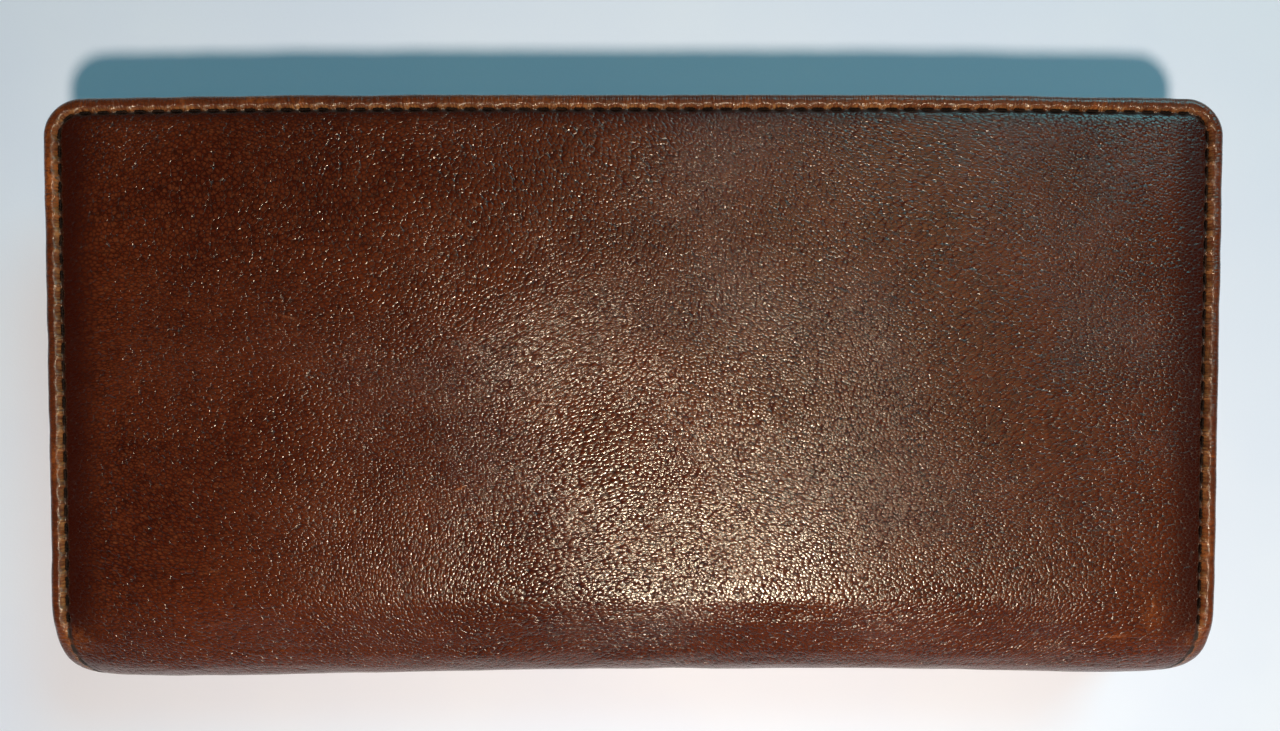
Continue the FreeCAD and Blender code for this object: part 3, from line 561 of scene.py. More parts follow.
def cover_piece(name, sgn, both=False):
    sh = Shell()
    lo = -V60 if both else V60
    hi = V60 if both else VE - 5.75
    if both:
        vs = fine_rows(-V60, V60, 0.375, both=True)
        paths = [(np.zeros(len(vs)), vs), (np.full(len(vs), 4.0), vs)]
    else:
        vs = fine_rows(V60, VE - 6.0, 0.375)
        na = 22
        arc = np.linspace(0, math.pi / 2, na + 2)[1:-1]
        nx = int(round((2 * HX - 12) / 0.375)) + 1
        kind = np.concatenate([np.zeros(len(vs)), np.ones(na), np.full(nx, 2), np.full(na, 3), np.full(len(vs), 4)])
        t = np.concatenate([vs, arc, np.linspace(-(HX - 6), HX - 6, nx), arc[::-1], vs[::-1]])
        paths = [(kind, t)]
    # inset measured along the leather, which goes on round the rim and under the hem
    chains_in, chains_out, ends = [], [], []
    for kind, t in paths:
        X, V = path_points(kind, t, D_ALL)
        Xs, Vs = path_points(kind, t, np.array([2.33]))
        s = np.concatenate([[0], np.cumsum(np.hypot(np.diff(Xs[:, 0]), np.diff(Vs[:, 0])))])
        s = s + (Vs[0, 0] if kind[0] == 0 or both else 0)
        fade = np.where((kind == 0) | (kind == 4), stitch_fade(Vs[:, 0]), 1.0)
        H = strip_height(X, V * sgn, s, fade)
        if not both:
            STITCH_LINE[name] = (kind, t, s, fade)
        Xm, Vm = path_points(kind, t, np.array([0.0, 1.0]))
        nx_, nv_ = Xm[:, 0] - Xm[:, 1], Vm[:, 0] - Vm[:, 1]
        wob = 0.035 * EDGEW(s, sgn * 7.0) * fade + 0.018 * STJ(s * 1.3, sgn * 2.0)
        w = wob[:, None] * np.exp(-D_ALL / 2.5)[None, :]
        Xw, Vw = X + nx_[:, None] * w, V + nv_[:, None] * w
        mid = len(t) // 4
        prof = np.stack([D_ALL, H[mid]], 1)
        run = np.concatenate([[0], np.cumsum(np.hypot(*np.diff(prof, axis=0).T))])
        deff = 5.0 - run
        lx = X + nx_[:, None] * (D_ALL - deff)[None, :]
        lv = V + nv_[:, None] * (D_ALL - deff)[None, :]
        lco = np.stack([lx, lv * sgn, np.where(deff < 0, 0.0, 0.0)[None, :] + 0 * lx], -1)
        eco = np.stack([s[:, None] + 0 * X + 100 * PITCH * sgn, deff[None, :] + 0 * X, 0 * X], -1)
        idx = sh.add(Xw, Vw, H, sgn, lco, deff[None, :] + 0 * X, eco)
        sh.quads(idx)
        chains_in.append(idx[:, 0])
        chains_out.append(idx[:, -1])
        ends.append(idx)
    # the panel
    xs = np.linspace(-(HX - 5.75), HX - 5.75, 239)
    rows = fine_rows(-V60, V60, 0.75, both=True) if both else fine_rows(V60, VE - 5.75, 0.75)
    Xg, Vg = np.meshgrid(xs, rows)
    g = sh.add(Xg, Vg, crown(Xg, Vg * sgn), sgn)
    sh.quads(g)
    # the flesh side
    xi = np.linspace(-(HX - 10), HX - 10, 58)
    if both:
        ri = rows
    else:
        ri = np.concatenate([fine_rows(V60, VR + 1.0, 0.75), np.linspace(VR + 5, VE - 10, 18)])
    Xi, Vi = np.meshgrid(xi, ri)
    gi = sh.add(Xi, Vi, H_IN + 0 * Xi, sgn)
    sh.quads(gi)
    if both:
        sh.zip(chains_in[0], g[:, 0])
        sh.zip(chains_in[1], g[:, -1])
        sh.zip(chains_out[0], gi[:, 0])
        sh.zip(chains_out[1], gi[:, -1])
    else:
        sh.zip(chains_in[0], np.concatenate([g[:, 0], g[-1, 1:-1], g[::-1, -1]]))
        sh.zip(chains_out[0], np.concatenate([gi[:, 0], gi[-1, 1:-1], gi[::-1, -1]]))
    for row in ([0, -1] if both else [0]):
        left = ends[0][row]
        right = ends[1][row] if both else ends[0][-1]
        k = N_TOP
        sh.zip(np.concatenate([left[:k + 1][::-1], g[row], right[:k + 1]]),
               np.concatenate([left[k:], gi[row], right[k:][::-1]]), flat=True)
    co = np.concatenate(sh.co)
    lco = np.concatenate(sh.lco)
    ed = np.concatenate(sh.ed)
    eco = np.concatenate(sh.eco)
    Xa, Va = lco[:, 0], lco[:, 1]
    ds, dt = HX - np.abs(Xa), VE - np.abs(Va)
    seam = stitch_fade(Va)
    shade = sstep(2.0, 2.8, ed) * np.maximum((1 - sstep(4.2, 10.0, ds)) * (0.35 + 0.65 * seam), 0.75 * (1 - sstep(2.9, 5.2, dt)))
    wear = np.zeros(len(co))
    spots = []
    if sgn > 0 and not both:
        def fv(y):
            return y - YC + VR
        spots = [(-94.0, fv(34), 1.8, 6.0, 0.95), (-94.2, fv(41.5), 1.2, 2.5, 0.5), (-94.0, fv(-12), 1.2, 3.0, 0.5),
                 (79.6, 12.5, 2.6, 1.0, 0.25), (84.6, 16.5, 1.4, 3.0, 0.28), (92.5, 14.0, 2.4, 4.5, 0.55),
                 (93.5, fv(-24), 1.2, 6.0, 0.5), (-92.0, 13.0, 2.6, 3.0, 0.8), (-93.5, fv(47), 1.8, 1.4, 0.6), (93.5, fv(46.8), 1.6, 1.3, 0.45),
                 (-60, fv(47.2), 3.0, 0.8, 0.55), (-20, fv(47.1), 9.0, 0.7, 0.35), (40, fv(47.1), 6.0, 0.7, 0.3)]
    elif both:
        spots = [(-90, 0, 2.4, 4.0, 0.8), (90, 0, 2.4, 4.0, 0.8), (20, -1.0, 16, 1.2, 0.22), (-46, 0.6, 12, 1.2, 0.25)]
    else:
        spots = [(-94, -60, 1.6, 9, 0.7), (94, -44, 1.6, 7, 0.7), (-92.5, -14, 2.4, 4, 0.8), (92.5, -14, 2.4, 4, 0.8), (93, -99.5, 1.8, 1.6, 0.7),
                 (-93, -99.5, 1.8, 1.6, 0.7), (12, -101, 8, 0.8, 0.5)]
    for sx, sv, rx, rv, a in spots:
        wear = np.maximum(wear, a * np.exp(-((Xa - sx) / rx) ** 2 - ((Va - sv) / rv) ** 2))
    ob = mesh_object(name, co, sh.faces, MAT_COVER, attrs={
        "leather_co": ("FLOAT_VECTOR", lco + np.array([300.0, 200.0, 0.0])),
        "edge_co": ("FLOAT_VECTOR", eco), "edge_d": ("FLOAT", ed), "shade": ("FLOAT", shade), "wear": ("FLOAT", wear)}, flat_faces=sh.flat)
    bm = bmesh.new()
    bm.from_mesh(ob.data)
    bmesh.ops.recalc_face_normals(bm, faces=bm.faces)
    bm.to_mesh(ob.data)
    bm.free()
    th = (90 + np.degrees(Va / R)).clip(0, 180)
    return ob, th


PA = (0, YC, 0.0)
PB = (0, YC - R * math.sin(math.radians(60)), ZC - R * math.cos(math.radians(60)))
PC = (0, YC - R * math.sin(math.radians(60)), ZC + R * math.cos(math.radians(60)))
PD = (0, YC, TH)


def bend(ob, zone, th):
    a, b, p, q, t0 = {"back": ("back_half", "spine_lower", PA, PB, 0.0), "mid": ("spine_lower", "spine_upper", PB, PC, 60.0),
                      "front": ("spine_upper", "front_half", PC, PD, 120.0)}[zone]
    bend_weights(ob, a, b, p, q)
    return ob


cov_back, th_ = cover_piece("cover_leather_back", -1)
bend(cov_back, "back", th_)
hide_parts("back_cover")
cov_mid, th_ = cover_piece("cover_leather_spine", 1, both=True)
bend(cov_mid, "mid", th_)
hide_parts("spine_cover_lower", "spine_cover_upper")
cov_front, th_ = cover_piece("cover_leather_front", 1)
bend(cov_front, "front", th_)
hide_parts("front_cover")


# ------------------------------------------------------------------ sewing
def thread_material(name, dark, light, nub):
    k = Mat(name)
    co = k.attr("thread_co")
    fib = k.noise(k.mapping(co, scale=(2.2, 9.0, 1.0), rot=(0, 0, 0.5)), 1.0, 3.0, 0.6)
    lump = k.noise(k.object_mm(), 0.5, 2.0)
    base = k.mix(k.remap(fib, 0.35, 0.7), dark, light)
    base = k.mix(k.math("MULTIPLY", k.remap(lump, 0.5, 0.75), 0.5), base, nub)
    k.link(base, k.bsdf.inputs["Base Color"])
    k.link(k.remap(fib, 0.3, 0.7, 0.62, 0.42), k.bsdf.inputs["Roughness"])
    k.link(k.bump(fib, 0.03), k.bsdf.inputs["Normal"])
    k.set(Specular_IOR_Level=0.12, Specular_Tint=(1.0, 0.9, 0.7, 1.0))
    return k.m


MAT_THREAD = thread_material("waxed_thread", rgb(13, 7, 5), rgb(36, 18, 10), rgb(60, 34, 19))
MAT_THREAD_INNER = thread_material("inner_thread", rgb(58, 32, 18), rgb(124, 80, 48), rgb(150, 104, 66))


def lay_thread(name, runs, ply=0.15, helix=0.125, turn=1.05, length=2.3, pitch=PITCH, dip=0.55, seed=3, mat=None):
    """Two-ply stitches along runs (f, s0, s1, count): f(s, a, b) gives the place of a point a sideways and b above the line at s."""
    rng = np.random.RandomState(seed)
    n, m = 11, 5
    cos, tco, faces = [], [], []
    base = 0
    u = np.linspace(-1, 1, n)
    psi = np.arange(m) * 2 * math.pi / m
    for f, centres in runs:
        for sc in centres:
            L = length * (1 + 0.08 * rng.randn())
            tilt = 0.06 * rng.randn()
            for p in (0, 1):
                ph = u * L / 2 * 2 * math.pi / turn + math.pi * p + rng.rand() * 0.3
                env = np.sqrt(np.clip(1 - np.abs(u) ** 7, 0.05, 1))
                a0 = helix * np.cos(ph) * env + tilt * u
                b0 = helix * np.sin(ph) * env - dip * np.abs(u) ** 6
                rr = ply * (0.55 + 0.45 * env)
                a = a0[:, None] + rr[:, None] * np.cos(psi)[None, :]
                b = b0[:, None] + rr[:, None] * np.sin(psi)[None, :]
                s = sc + (u * L / 2)[:, None] + 0 * a
                cos.append(f(s.ravel(), a.ravel(), b.ravel()))
                tco.append(np.stack([(psi / (2 * math.pi))[None, :] + 0 * a, s, p + 0 * a], -1).reshape(-1, 3))
                i = base + np.arange(n * m).reshape(n, m)
                j = np.roll(i, -1, 1)
                q = np.stack([i[:-1].ravel(), i[1:].ravel(), j[1:].ravel(), j[:-1].ravel()], 1)
                faces += q.tolist()
                faces.append(i[0].tolist())
                faces.append(i[-1][::-1].tolist())
                base += n * m
    ob = mesh_object(name, np.concatenate(cos), faces, mat or MAT_THREAD, attrs={"thread_co": ("FLOAT_VECTOR", np.concatenate(tco))})
    return ob


def cover_stitches(name, cover, sgn, node, halves):
    kind, t, s, fade = STITCH_LINE[cover]
    X, V = path_points(kind, t, np.array([2.33, 3.33]))
    cx, cv, nx, nv = X[:, 0], V[:, 0], X[:, 1] - X[:, 0], V[:, 1] - V[:, 0]
    good = fade > 0.55
    s0, s1 = s[good][0], s[good][-1]
    k0, k1 = int(math.ceil(s0 / PITCH - 0.5)), int(math.floor(s1 / PITCH - 0.5))
    centres = [(k + 0.5) * PITCH for k in range(k0, k1 + 1)]

    def at(q, a):
        return np.interp(q, s, cx) + a * np.interp(q, s, nx), np.interp(q, s, cv) + a * np.interp(q, s, nv)

    def top(q, a, b):
        x, v = at(q, a)
        cX, cV = at(q, 0 * a)
        return place(x, v * sgn, crown(cX, cV * sgn) - 0.36 + b)

    def hem(q, a, b):
        x, v = at(q, a)
        return place(x, v * sgn, -2.22 - b)

    ob = lay_thread(name, [(top, centres), (hem, centres)], seed=5 + sgn)
    co = np.empty(len(ob.data.vertices) * 3)
    ob.data.vertices.foreach_get("co", co)
    co = co.reshape(-1, 3) * 1000
    th = np.where(co[:, 1] > YC, 180.0 if sgn > 0 else 0.0, np.degrees(np.arctan2(YC - co[:, 1], -(co[:, 2] - ZC))))
    bend(ob, halves, th)
    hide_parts(node)
    return ob


cover_stitches("stitching_front", "cover_leather_front", 1, "front_cover_thread", "front")
cover_stitches("stitching_back", "cover_leather_back", -1, "back_cover_thread", "back")


# ------------------------------------------------------------------ board and lining, which follow the same fold
def woven(name, warp, weft, slub, pitch=0.42, rough=0.78, depth=0.05, coords="cloth_co", sheen=0.25, twill=True):
    """Twill or plain cloth: threads crossing at right angles, each with its own tone, and soft lengthwise streaks."""
    k = Mat(name)
    co = k.attr(coords) if coords else k.object_mm()
    w = k.vmath("SUBTRACT", k.noise(co, 0.25, 2.0, 0.5, out=1), (0.5, 0.5, 0.5))
    co = k.vmath("ADD", co, k.vmath("SCALE", w, scale=0.35))
    sep = k.node("ShaderNodeSeparateXYZ")
    k.link(co, sep.inputs[0])
    fx = k.math("DIVIDE", sep.outputs[0], pitch)
    fy = k.math("DIVIDE", sep.outputs[1], pitch)
    ridge_x = k.math("ABSOLUTE", k.math("SINE", k.math("MULTIPLY", fx, math.pi)))
    ridge_y = k.math("ABSOLUTE", k.math("SINE", k.math("MULTIPLY", fy, math.pi)))
    diag = k.math("FRACT", k.math("MULTIPLY", k.math("ADD", k.math("FLOOR", fx), k.math("FLOOR", fy)), 1.0 / 3.0 if twill else 0.5))
    over = k.math("GREATER_THAN", diag, 0.34 if twill else 0.25)
    hw = k.math("ADD", k.math("MULTIPLY", over, ridge_x), k.math("MULTIPLY", k.math("SUBTRACT", 1.0, over), ridge_y))
    base = k.mix(over, weft, warp)
    streak = k.noise(k.mapping(co, scale=(1.6, 0.05, 1.0)), 1.0, 3.0, 0.6)
    base = k.mix(k.math("MULTIPLY", k.remap(streak, 0.45, 0.7), 0.5), base, slub)
    # painted shade in the hollows between the threads
    base = k.mix(k.math("MULTIPLY", k.remap(hw, 0.5, 0.0), 0.6), base, tuple(c * 0.25 for c in warp[:3]) + (1.0,))
    soil = k.noise(co, 0.05, 3.0, 0.6)
    base = k.mix(k.math("MULTIPLY", k.remap(soil, 0.5, 0.75), 0.3), base, tuple(c * 0.5 for c in warp[:3]) + (1.0,))
    k.link(base, k.bsdf.inputs["Base Color"])
    fibre = k.noise(co, 9.0, 2.0, 0.7)
    k.link(k.bump(k.math("ADD", hw, k.math("MULTIPLY", fibre, 0.3)), depth), k.bsdf.inputs["Normal"])
    k.link(k.remap(fibre, 0.3, 0.7, rough - 0.08, rough + 0.08), k.bsdf.inputs["Roughness"])
    k.set(Specular_IOR_Level=0.3, Sheen_Weight=sheen, Sheen_Roughness=0.4)
    return k.m


def board_material():
    k = Mat("backing_board")
    co = k.object_mm()
    f = k.noise(k.mapping(co, scale=(1.0, 3.0, 1.0)), 1.2, 4.0, 0.7)
    k.link(k.mix(k.remap(f, 0.3, 0.7), rgb(120, 98, 74), rgb(158, 134, 104)), k.bsdf.inputs["Base Color"])
    k.link(k.bump(f, 0.05), k.bsdf.inputs["Normal"])
    k.link(k.remap(f, 0.3, 0.7, 0.7, 0.9), k.bsdf.inputs["Roughness"])
    return k.m


MAT_LINING = woven("lining_twill", rgb(66, 44, 30), rgb(52, 34, 23), rgb(92, 66, 46))
MAT_BOARD = board_material()
PUCK = waves(31, 7.0, 34, 0.6, aniso=4.0)
PUCK2 = waves(32, 30.0, 20)


def fold_plate(name, zone, sgn, xh, vend, h0, h1, mat, pucker=0.0, crn=3.0):
    both = zone == "mid"
    rows = fine_rows(-V60, V60, 0.75, both=True) if both else np.concatenate([fine_rows(V60, VR + 2, 0.75), np.linspace(VR + 3.2, vend - crn, 36), vend - crn * np.array([0.75, 0.5, 0.3, 0.15, 0.05, 0.0])])
    xs = np.concatenate([-xh + crn * np.array([0, 0.05, 0.15, 0.3, 0.5, 0.75]), np.linspace(-xh + crn, xh - crn, 116), xh - crn * np.array([0.75, 0.5, 0.3, 0.15, 0.05, 0.0])])
    X, V = np.meshgrid(xs, rows)
    if not both:
        u = np.clip((np.abs(X) - (xh - crn)) / crn, 0, 1)
        w = np.clip((V - (vend - crn)) / crn, 0, 1)
        m, ln = np.maximum(u, w), np.hypot(u, w) + 1e-9
        c = (u > 0) & (w > 0)
        X = np.where(c, np.sign(X) * (xh - crn + crn * m * u / ln), X)
        V = np.where(c, vend - crn + crn * m * w / ln, V)
    puck = pucker * (PUCK(X, V * sgn) * 0.9 * sstep(VR + 5, VR - 3, np.abs(V)) + 0.35 * PUCK2(X, V * sgn)) * sstep(0, 6, xh - np.abs(X)) * (1 if both else sstep(0, 6, vend - V))
    H1 = h1 + puck
    ed = np.minimum(xh - np.abs(X), 99 if both else vend - V)
    H1 = H1 + 0.12 * (1 - sstep(0, 0.5, ed))
    outer, inner = place(X, V * sgn, h0 + 0 * X), place(X, V * sgn, H1)
    n, m_ = X.shape
    ix = np.arange(n * m_).reshape(n, m_)
    ix2 = ix + n * m_
    faces = []
    for g in (ix, ix2):
        faces += np.stack([g[:-1, :-1].ravel(), g[1:, :-1].ravel(), g[1:, 1:].ravel(), g[:-1, 1:].ravel()], 1).tolist()
    flat = []
    loop = np.concatenate([ix[0, :-1], ix[:-1, -1], ix[-1, :0:-1], ix[:0:-1, 0]])
    nxt = np.roll(loop, -1)
    flat = range(len(faces), len(faces) + len(loop))
    faces += np.stack([loop, nxt, nxt + n * m_, loop + n * m_], 1).tolist()
    co = np.concatenate([outer.reshape(-1, 3), inner.reshape(-1, 3)])
    cc = np.stack([X, V * sgn, 0 * X], -1).reshape(-1, 3)
    ob = mesh_object(name, co, faces, mat, attrs={"cloth_co": ("FLOAT_VECTOR", np.concatenate([cc, cc]))}, flat_faces=flat)
    bm = bmesh.new()
    bm.from_mesh(ob.data)
    bmesh.ops.recalc_face_normals(bm, faces=bm.faces)
    bm.to_mesh(ob.data)
    bm.free()
    th = (90 + np.degrees(np.concatenate([(V * sgn).ravel()] * 2) / R)).clip(0, 180)
    bend(ob, zone, th)
    return ob


XL = HX - 7.85
VL = VE - 7.85
for zone, sgn, nm, nodes in (("back", -1, "back", ("back",)), ("mid", 1, "spine", ("spine", "spine")), ("front", 1, "front", ("front",))):
    both = zone == "mid"
    b = fold_plate("backing_" + nm, zone, sgn, XL, VL, -1.22, -1.8, MAT_BOARD)
    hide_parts(*(["spine_backing_lower", "spine_backing_upper"] if both else [nm + "_backing"]))
    l = fold_plate("lining_" + nm, zone, sgn, XL, VL, -1.82, -2.4, MAT_LINING, pucker=0.05)
    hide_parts(*(["spine_lining_lower", "spine_lining_upper"] if both else [nm + "_lining"]))


# ------------------------------------------------------------------ inside: flat leather parts, cut, turned and sewn
INNER_COLOURS = dict(dark=rgb(62, 24, 11), mid=rgb(90, 42, 21), light=rgb(122, 72, 42), wear=rgb(150, 90, 46))
MAT_INNER = leather("inner_leather", size=0.44, rough=(0.30, 0.40), depth=0.045, spec=0.55, edge=False, rim=True, crease_shade=0.45, **INNER_COLOURS)
MAT_INNER_OBJ = leather("inner_leather_plain", coords=None, size=0.44, rough=(0.30, 0.40), depth=0.045, spec=0.55, edge=False, crease_shade=0.45, **INNER_COLOURS)
_count = [0]


def graded(a, b, step, r, extra=()):
    e = r * np.array([0, 0.06, 0.2, 0.45])
    mid = np.linspace(a + r, b - r, max(2, int(round((b - a - 2 * r) / step)) + 1))
    g = np.concatenate([a + e, mid, b - e[::-1]])
    for x, w in extra:
        g = np.concatenate([g[np.abs(g - x) > w * 0.25], x + w * np.array([-1.6, -1, -0.65, -0.35, 0, 0.35, 0.65, 1, 1.6])])
    g = np.unique(np.round(g[(g >= a) & (g <= b)], 4))
    return g[np.concatenate([[True], np.diff(g) > 0.012])]


def slab(name, lo, hi, body, mat=None, axes=(0, 1, 2), r=None, crn=0.0, step=1.8, ux=(), vx=(), top=None, bot=None, nodes=(), skew=None):
    """A thin part with rounded edges. axes: which of x, y, z run along it, across it, and through it. top and bot add relief to its two faces."""
    lo, hi = np.array(lo, float), np.array(hi, float)
    a0, a1, b0, b1, w0, w1 = lo[axes[0]], hi[axes[0]], lo[axes[1]], hi[axes[1]], lo[axes[2]], hi[axes[2]]
    T = w1 - w0
    r = min(r or T, 0.49 * T)
    U, V = np.meshgrid(graded(a0, a1, step, r, ux), graded(b0, b1, step, r, vx))
    d = np.minimum(np.minimum(U - a0, a1 - U), np.minimum(V - b0, b1 - V))
    q = np.clip(d / r, 0, 1)
    drop = r * (1 - np.sqrt(np.clip(1 - (1 - q) ** 2, 0, 1)))
    f = sstep(0, 1.2 * r + 0.1, d)
    Wt = w1 - drop + f * (top(U, V) if top else 0.0)
    Wb = w0 + drop - f * (bot(U, V) if bot else 0.0)
    Um, Vm = U.copy(), V.copy()
    if crn:
        ca, cb = (a0 + a1) / 2, (b0 + b1) / 2
        u = np.clip((np.abs(U - ca) - ((a1 - a0) / 2 - crn)) / crn, 0, 1)
        w = np.clip((np.abs(V - cb) - ((b1 - b0) / 2 - crn)) / crn, 0, 1)
        m, ln = np.maximum(u, w), np.hypot(u, w) + 1e-9
        c = (u > 0) & (w > 0)
        Um = np.where(c, ca + np.sign(U - ca) * ((a1 - a0) / 2 - crn + crn * m * u / ln), U)
        Vm = np.where(c, cb + np.sign(V - cb) * ((b1 - b0) / 2 - crn + crn * m * w / ln), V)
    n, m_ = U.shape
    co = np.empty((2 * n * m_, 3))
    for part, W in ((0, Wt), (1, Wb)):
        sl = slice(part * n * m_, (part + 1) * n * m_)
        co[sl, axes[0]], co[sl, axes[1]], co[sl, axes[2]] = Um.ravel(), Vm.ravel(), W.ravel()
    if skew is not None:
        co = skew(co)
    ix = np.arange(n * m_).reshape(n, m_)
    faces = []
    for g in (ix, ix + n * m_):
        faces += np.stack([g[:-1, :-1].ravel(), g[1:, :-1].ravel(), g[1:, 1:].ravel(), g[:-1, 1:].ravel()], 1).tolist()
    loop = np.concatenate([ix[0, :-1], ix[:-1, -1], ix[-1, :0:-1], ix[:0:-1, 0]])
    nxt = np.roll(loop, -1)
    faces += np.stack([loop, nxt, nxt + n * m_, loop + n * m_], 1).tolist()
    _count[0] += 1
    off = np.array([37.0 * _count[0], 61.0 * _count[0] % 211, 0])
    lc = np.stack([np.tile(U.ravel(), 2), np.tile(V.ravel(), 2), np.repeat([0.0, 3.0], n * m_)], -1) + off
    rim = 1 - sstep(0.0, 0.35 * r + 0.05, np.tile(d.ravel(), 2))
    ob = mesh_object(name, co, faces, mat or MAT_INNER, attrs={"leather_co": ("FLOAT_VECTOR", lc), "cloth_co": ("FLOAT_VECTOR", lc), "rim": ("FLOAT", rim)})
    tidy(ob)
    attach(ob, body)
    if nodes:
        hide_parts(*nodes)
    return ob


def tidy(ob):
    bm = bmesh.new()
    bm.from_mesh(ob.data)
    bmesh.ops.recalc_face_normals(bm, faces=bm.faces)
    bm.to_mesh(ob.data)
    bm.free()


def g1(x, c, w):
    return np.exp(-((x - c) / w) ** 2)


def mouth(y1, rise=0.13, crease=2.4, seed=1, sides=None):
    """Turned edge along y = y1 with a pressed line behind it; faint waviness."""
    wv = waves(60 + seed, 30, 16)

    def f(U, V):
        e = y1 - V
        z = rise * g1(e, 0.8, 0.55) - 0.05 * g1(e, 1.75, 0.25) - 0.075 * g1(e, crease + 0.9, 0.17)
        z = z + 0.02 * wv(U, V) * sstep(2, 10, e)
        if sides is not None:
            for c in sides:
                z = z - 0.06 * g1(U, c, 0.55)
        return z

    return f


SEAMS = (-88.0, 0.0, 88.0)
sx = [(c, 0.6) for c in SEAMS]
lo, hi = mmbox("card_panel_base")
y = hi[1]
slab("card_base", lo, hi, "card_panel", nodes=["card_panel_base"], top=mouth(y, 0.10, seed=2, sides=SEAMS), bot=mouth(y, 0.05, seed=3), ux=sx, vx=[(y - 0.8, 0.6), (y - 3.3, 0.25)], crn=1.5)
TIERS = [(hi[1], hi[2])]
for i in range(1, 5):
    lo, hi = mmbox("card_pocket_%d" % i)
    y = hi[1]
    TIERS.append((hi[1], hi[2]))
    slab("card_slot_%d" % i, lo, hi, "card_panel", nodes=["card_pocket_%d" % i], top=mouth(y, 0.11, seed=4 + i, sides=SEAMS), ux=sx, vx=[(y - 0.8, 0.6), (y - 3.3, 0.25)], crn=0.9)
lo, hi = mmbox("card_panel_heel")
slab("card_heel", lo, hi, "card_panel", nodes=["card_panel_heel"], axes=(0, 2, 1))

# seams of the card pockets: one run down each side and one down the middle, stepping up over each pocket
runs = []
ylow = mmbox("card_pocket_4")[0][1]
ends = [t[0] for t in TIERS[1:]] + [ylow + 1.5]
for cx in SEAMS:
    for (y1, z1), y0 in zip(TIERS, ends):
        span = (y1 - 1.4) - (y0 + 0.2)
        n = max(1, int(round(span / 3.0)))
        cs = [y0 + 0.2 + span * (j + 0.5) / n for j in range(n)]

        def f(s, a, b, cx=cx, z1=z1):
            return np.stack([cx + a, s, z1 - 0.02 + b], -1)

        runs.append((f, cs))
ob = lay_thread("stitching_card_panel", runs, ply=0.13, helix=0.11, length=2.2, dip=0.45, seed=21, mat=MAT_THREAD_INNER)
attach(ob, "card_panel")
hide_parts("card_panel_thread")

# coin pocket
lo, hi = mmbox("coin_pocket_front_wall")
ym = hi[1]
TH_LINE = ym - 2.6


def wall_line(U, V):
    return -0.07 * g1(V, TH_LINE, 0.5) + 0.06 * g1(V, ym - 0.7, 0.5) - 0.06 * g1(np.abs(U), 86.0, 0.5) * (V < 24)


slab("coin_wall_front", lo, hi, "coin_panel", nodes=["coin_pocket_front_wall"], bot=wall_line, vx=[(TH_LINE, 0.6), (ym - 0.7, 0.6)], ux=[(-86, 0.6), (86, 0.6)], crn=1.5)
lo, hi = mmbox("coin_pocket_rear_wall")
slab("coin_wall_rear", lo, hi, "coin_panel", nodes=["coin_pocket_rear_wall"], top=mouth(hi[1], 0.04, seed=12), vx=[(hi[1] - 0.8, 0.6)], crn=1.5)
lo, hi = mmbox("coin_pocket_floor")
slab("coin_floor", lo, hi, "coin_panel", nodes=["coin_pocket_floor"], axes=(0, 2, 1))
for side in ("left", "right"):
    lo, hi = mmbox("coin_pocket_side_" + side)
    slab("coin_side_" + side, lo, hi, "coin_panel", nodes=["coin_pocket_side_" + side], axes=(1, 2, 0))
lo, hi = mmbox("slip_pocket")


def slip_face(U, V):
    e = hi[1] - V
    return 0.11 * g1(e, 0.8, 0.55) - 0.05 * g1(e, 1.75, 0.25) - 0.07 * g1(e, 3.3, 0.17) - 0.06 * g1(np.abs(U), 86.0, 0.5)


slab("slip_pocket_face", lo, hi, "coin_panel", nodes=["slip_pocket"], bot=slip_face, vx=[(hi[1] - 0.8, 0.6), (hi[1] - 3.3, 0.25)], ux=[(-86, 0.6), (86, 0.6)], crn=0.9)
z_slip, z_wall = lo[2], mmbox("coin_pocket_front_wall")[0][2]


def line_wall(s, a, b):
    return np.stack([s, TH_LINE + a, z_wall - 0.0 - b], -1)


def line_side(cx):
    return lambda s, a, b: np.stack([cx + a, s, z_slip - b], -1)


ob = lay_thread("stitching_coin_panel", [(line_wall, list(np.arange(-84.0, 84.1, 3.0)))] + [(line_side(c), list(np.arange(-30.0, 21.0, 3.0))) for c in (-86.0, 86.0)],
                ply=0.13, helix=0.11, length=2.2, dip=0.45, seed=22, mat=MAT_THREAD_INNER)
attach(ob, "coin_panel")
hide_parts("coin_pocket_thread")


# ------------------------------------------------------------------ folded strips: gussets and zip tapes
def round_path(pts, rad, seg=7):
    pts = [np.array(p, float) for p in pts]
    out = [pts[0]]
    for i in range(1, len(pts) - 1):
        a, b, c = pts[i - 1], pts[i], pts[i + 1]
        u, v = (a - b) / np.linalg.norm(a - b), (c - b) / np.linalg.norm(c - b)
        ang = math.acos(float(np.clip(u @ v, -1, 1)))
        rr = rad[i - 1] if isinstance(rad, (list, tuple)) else rad
        t = min(rr / math.tan(ang / 2), 0.48 * np.linalg.norm(a - b), 0.48 * np.linalg.norm(c - b))
        p0, p1 = b + u * t, b + v * t
        for q in np.linspace(0, 1, seg):
            out.append((1 - q) ** 2 * p0 + 2 * q * (1 - q) * b + q * q * p1)
    out.append(pts[-1])
    out = np.array(out)
    keep = np.concatenate([[True], np.linalg.norm(np.diff(out, axis=0), axis=1) > 0.02])
    out = out[keep]
    s = np.concatenate([[0], np.cumsum(np.linalg.norm(np.diff(out, axis=0), axis=1))])
    return out, s


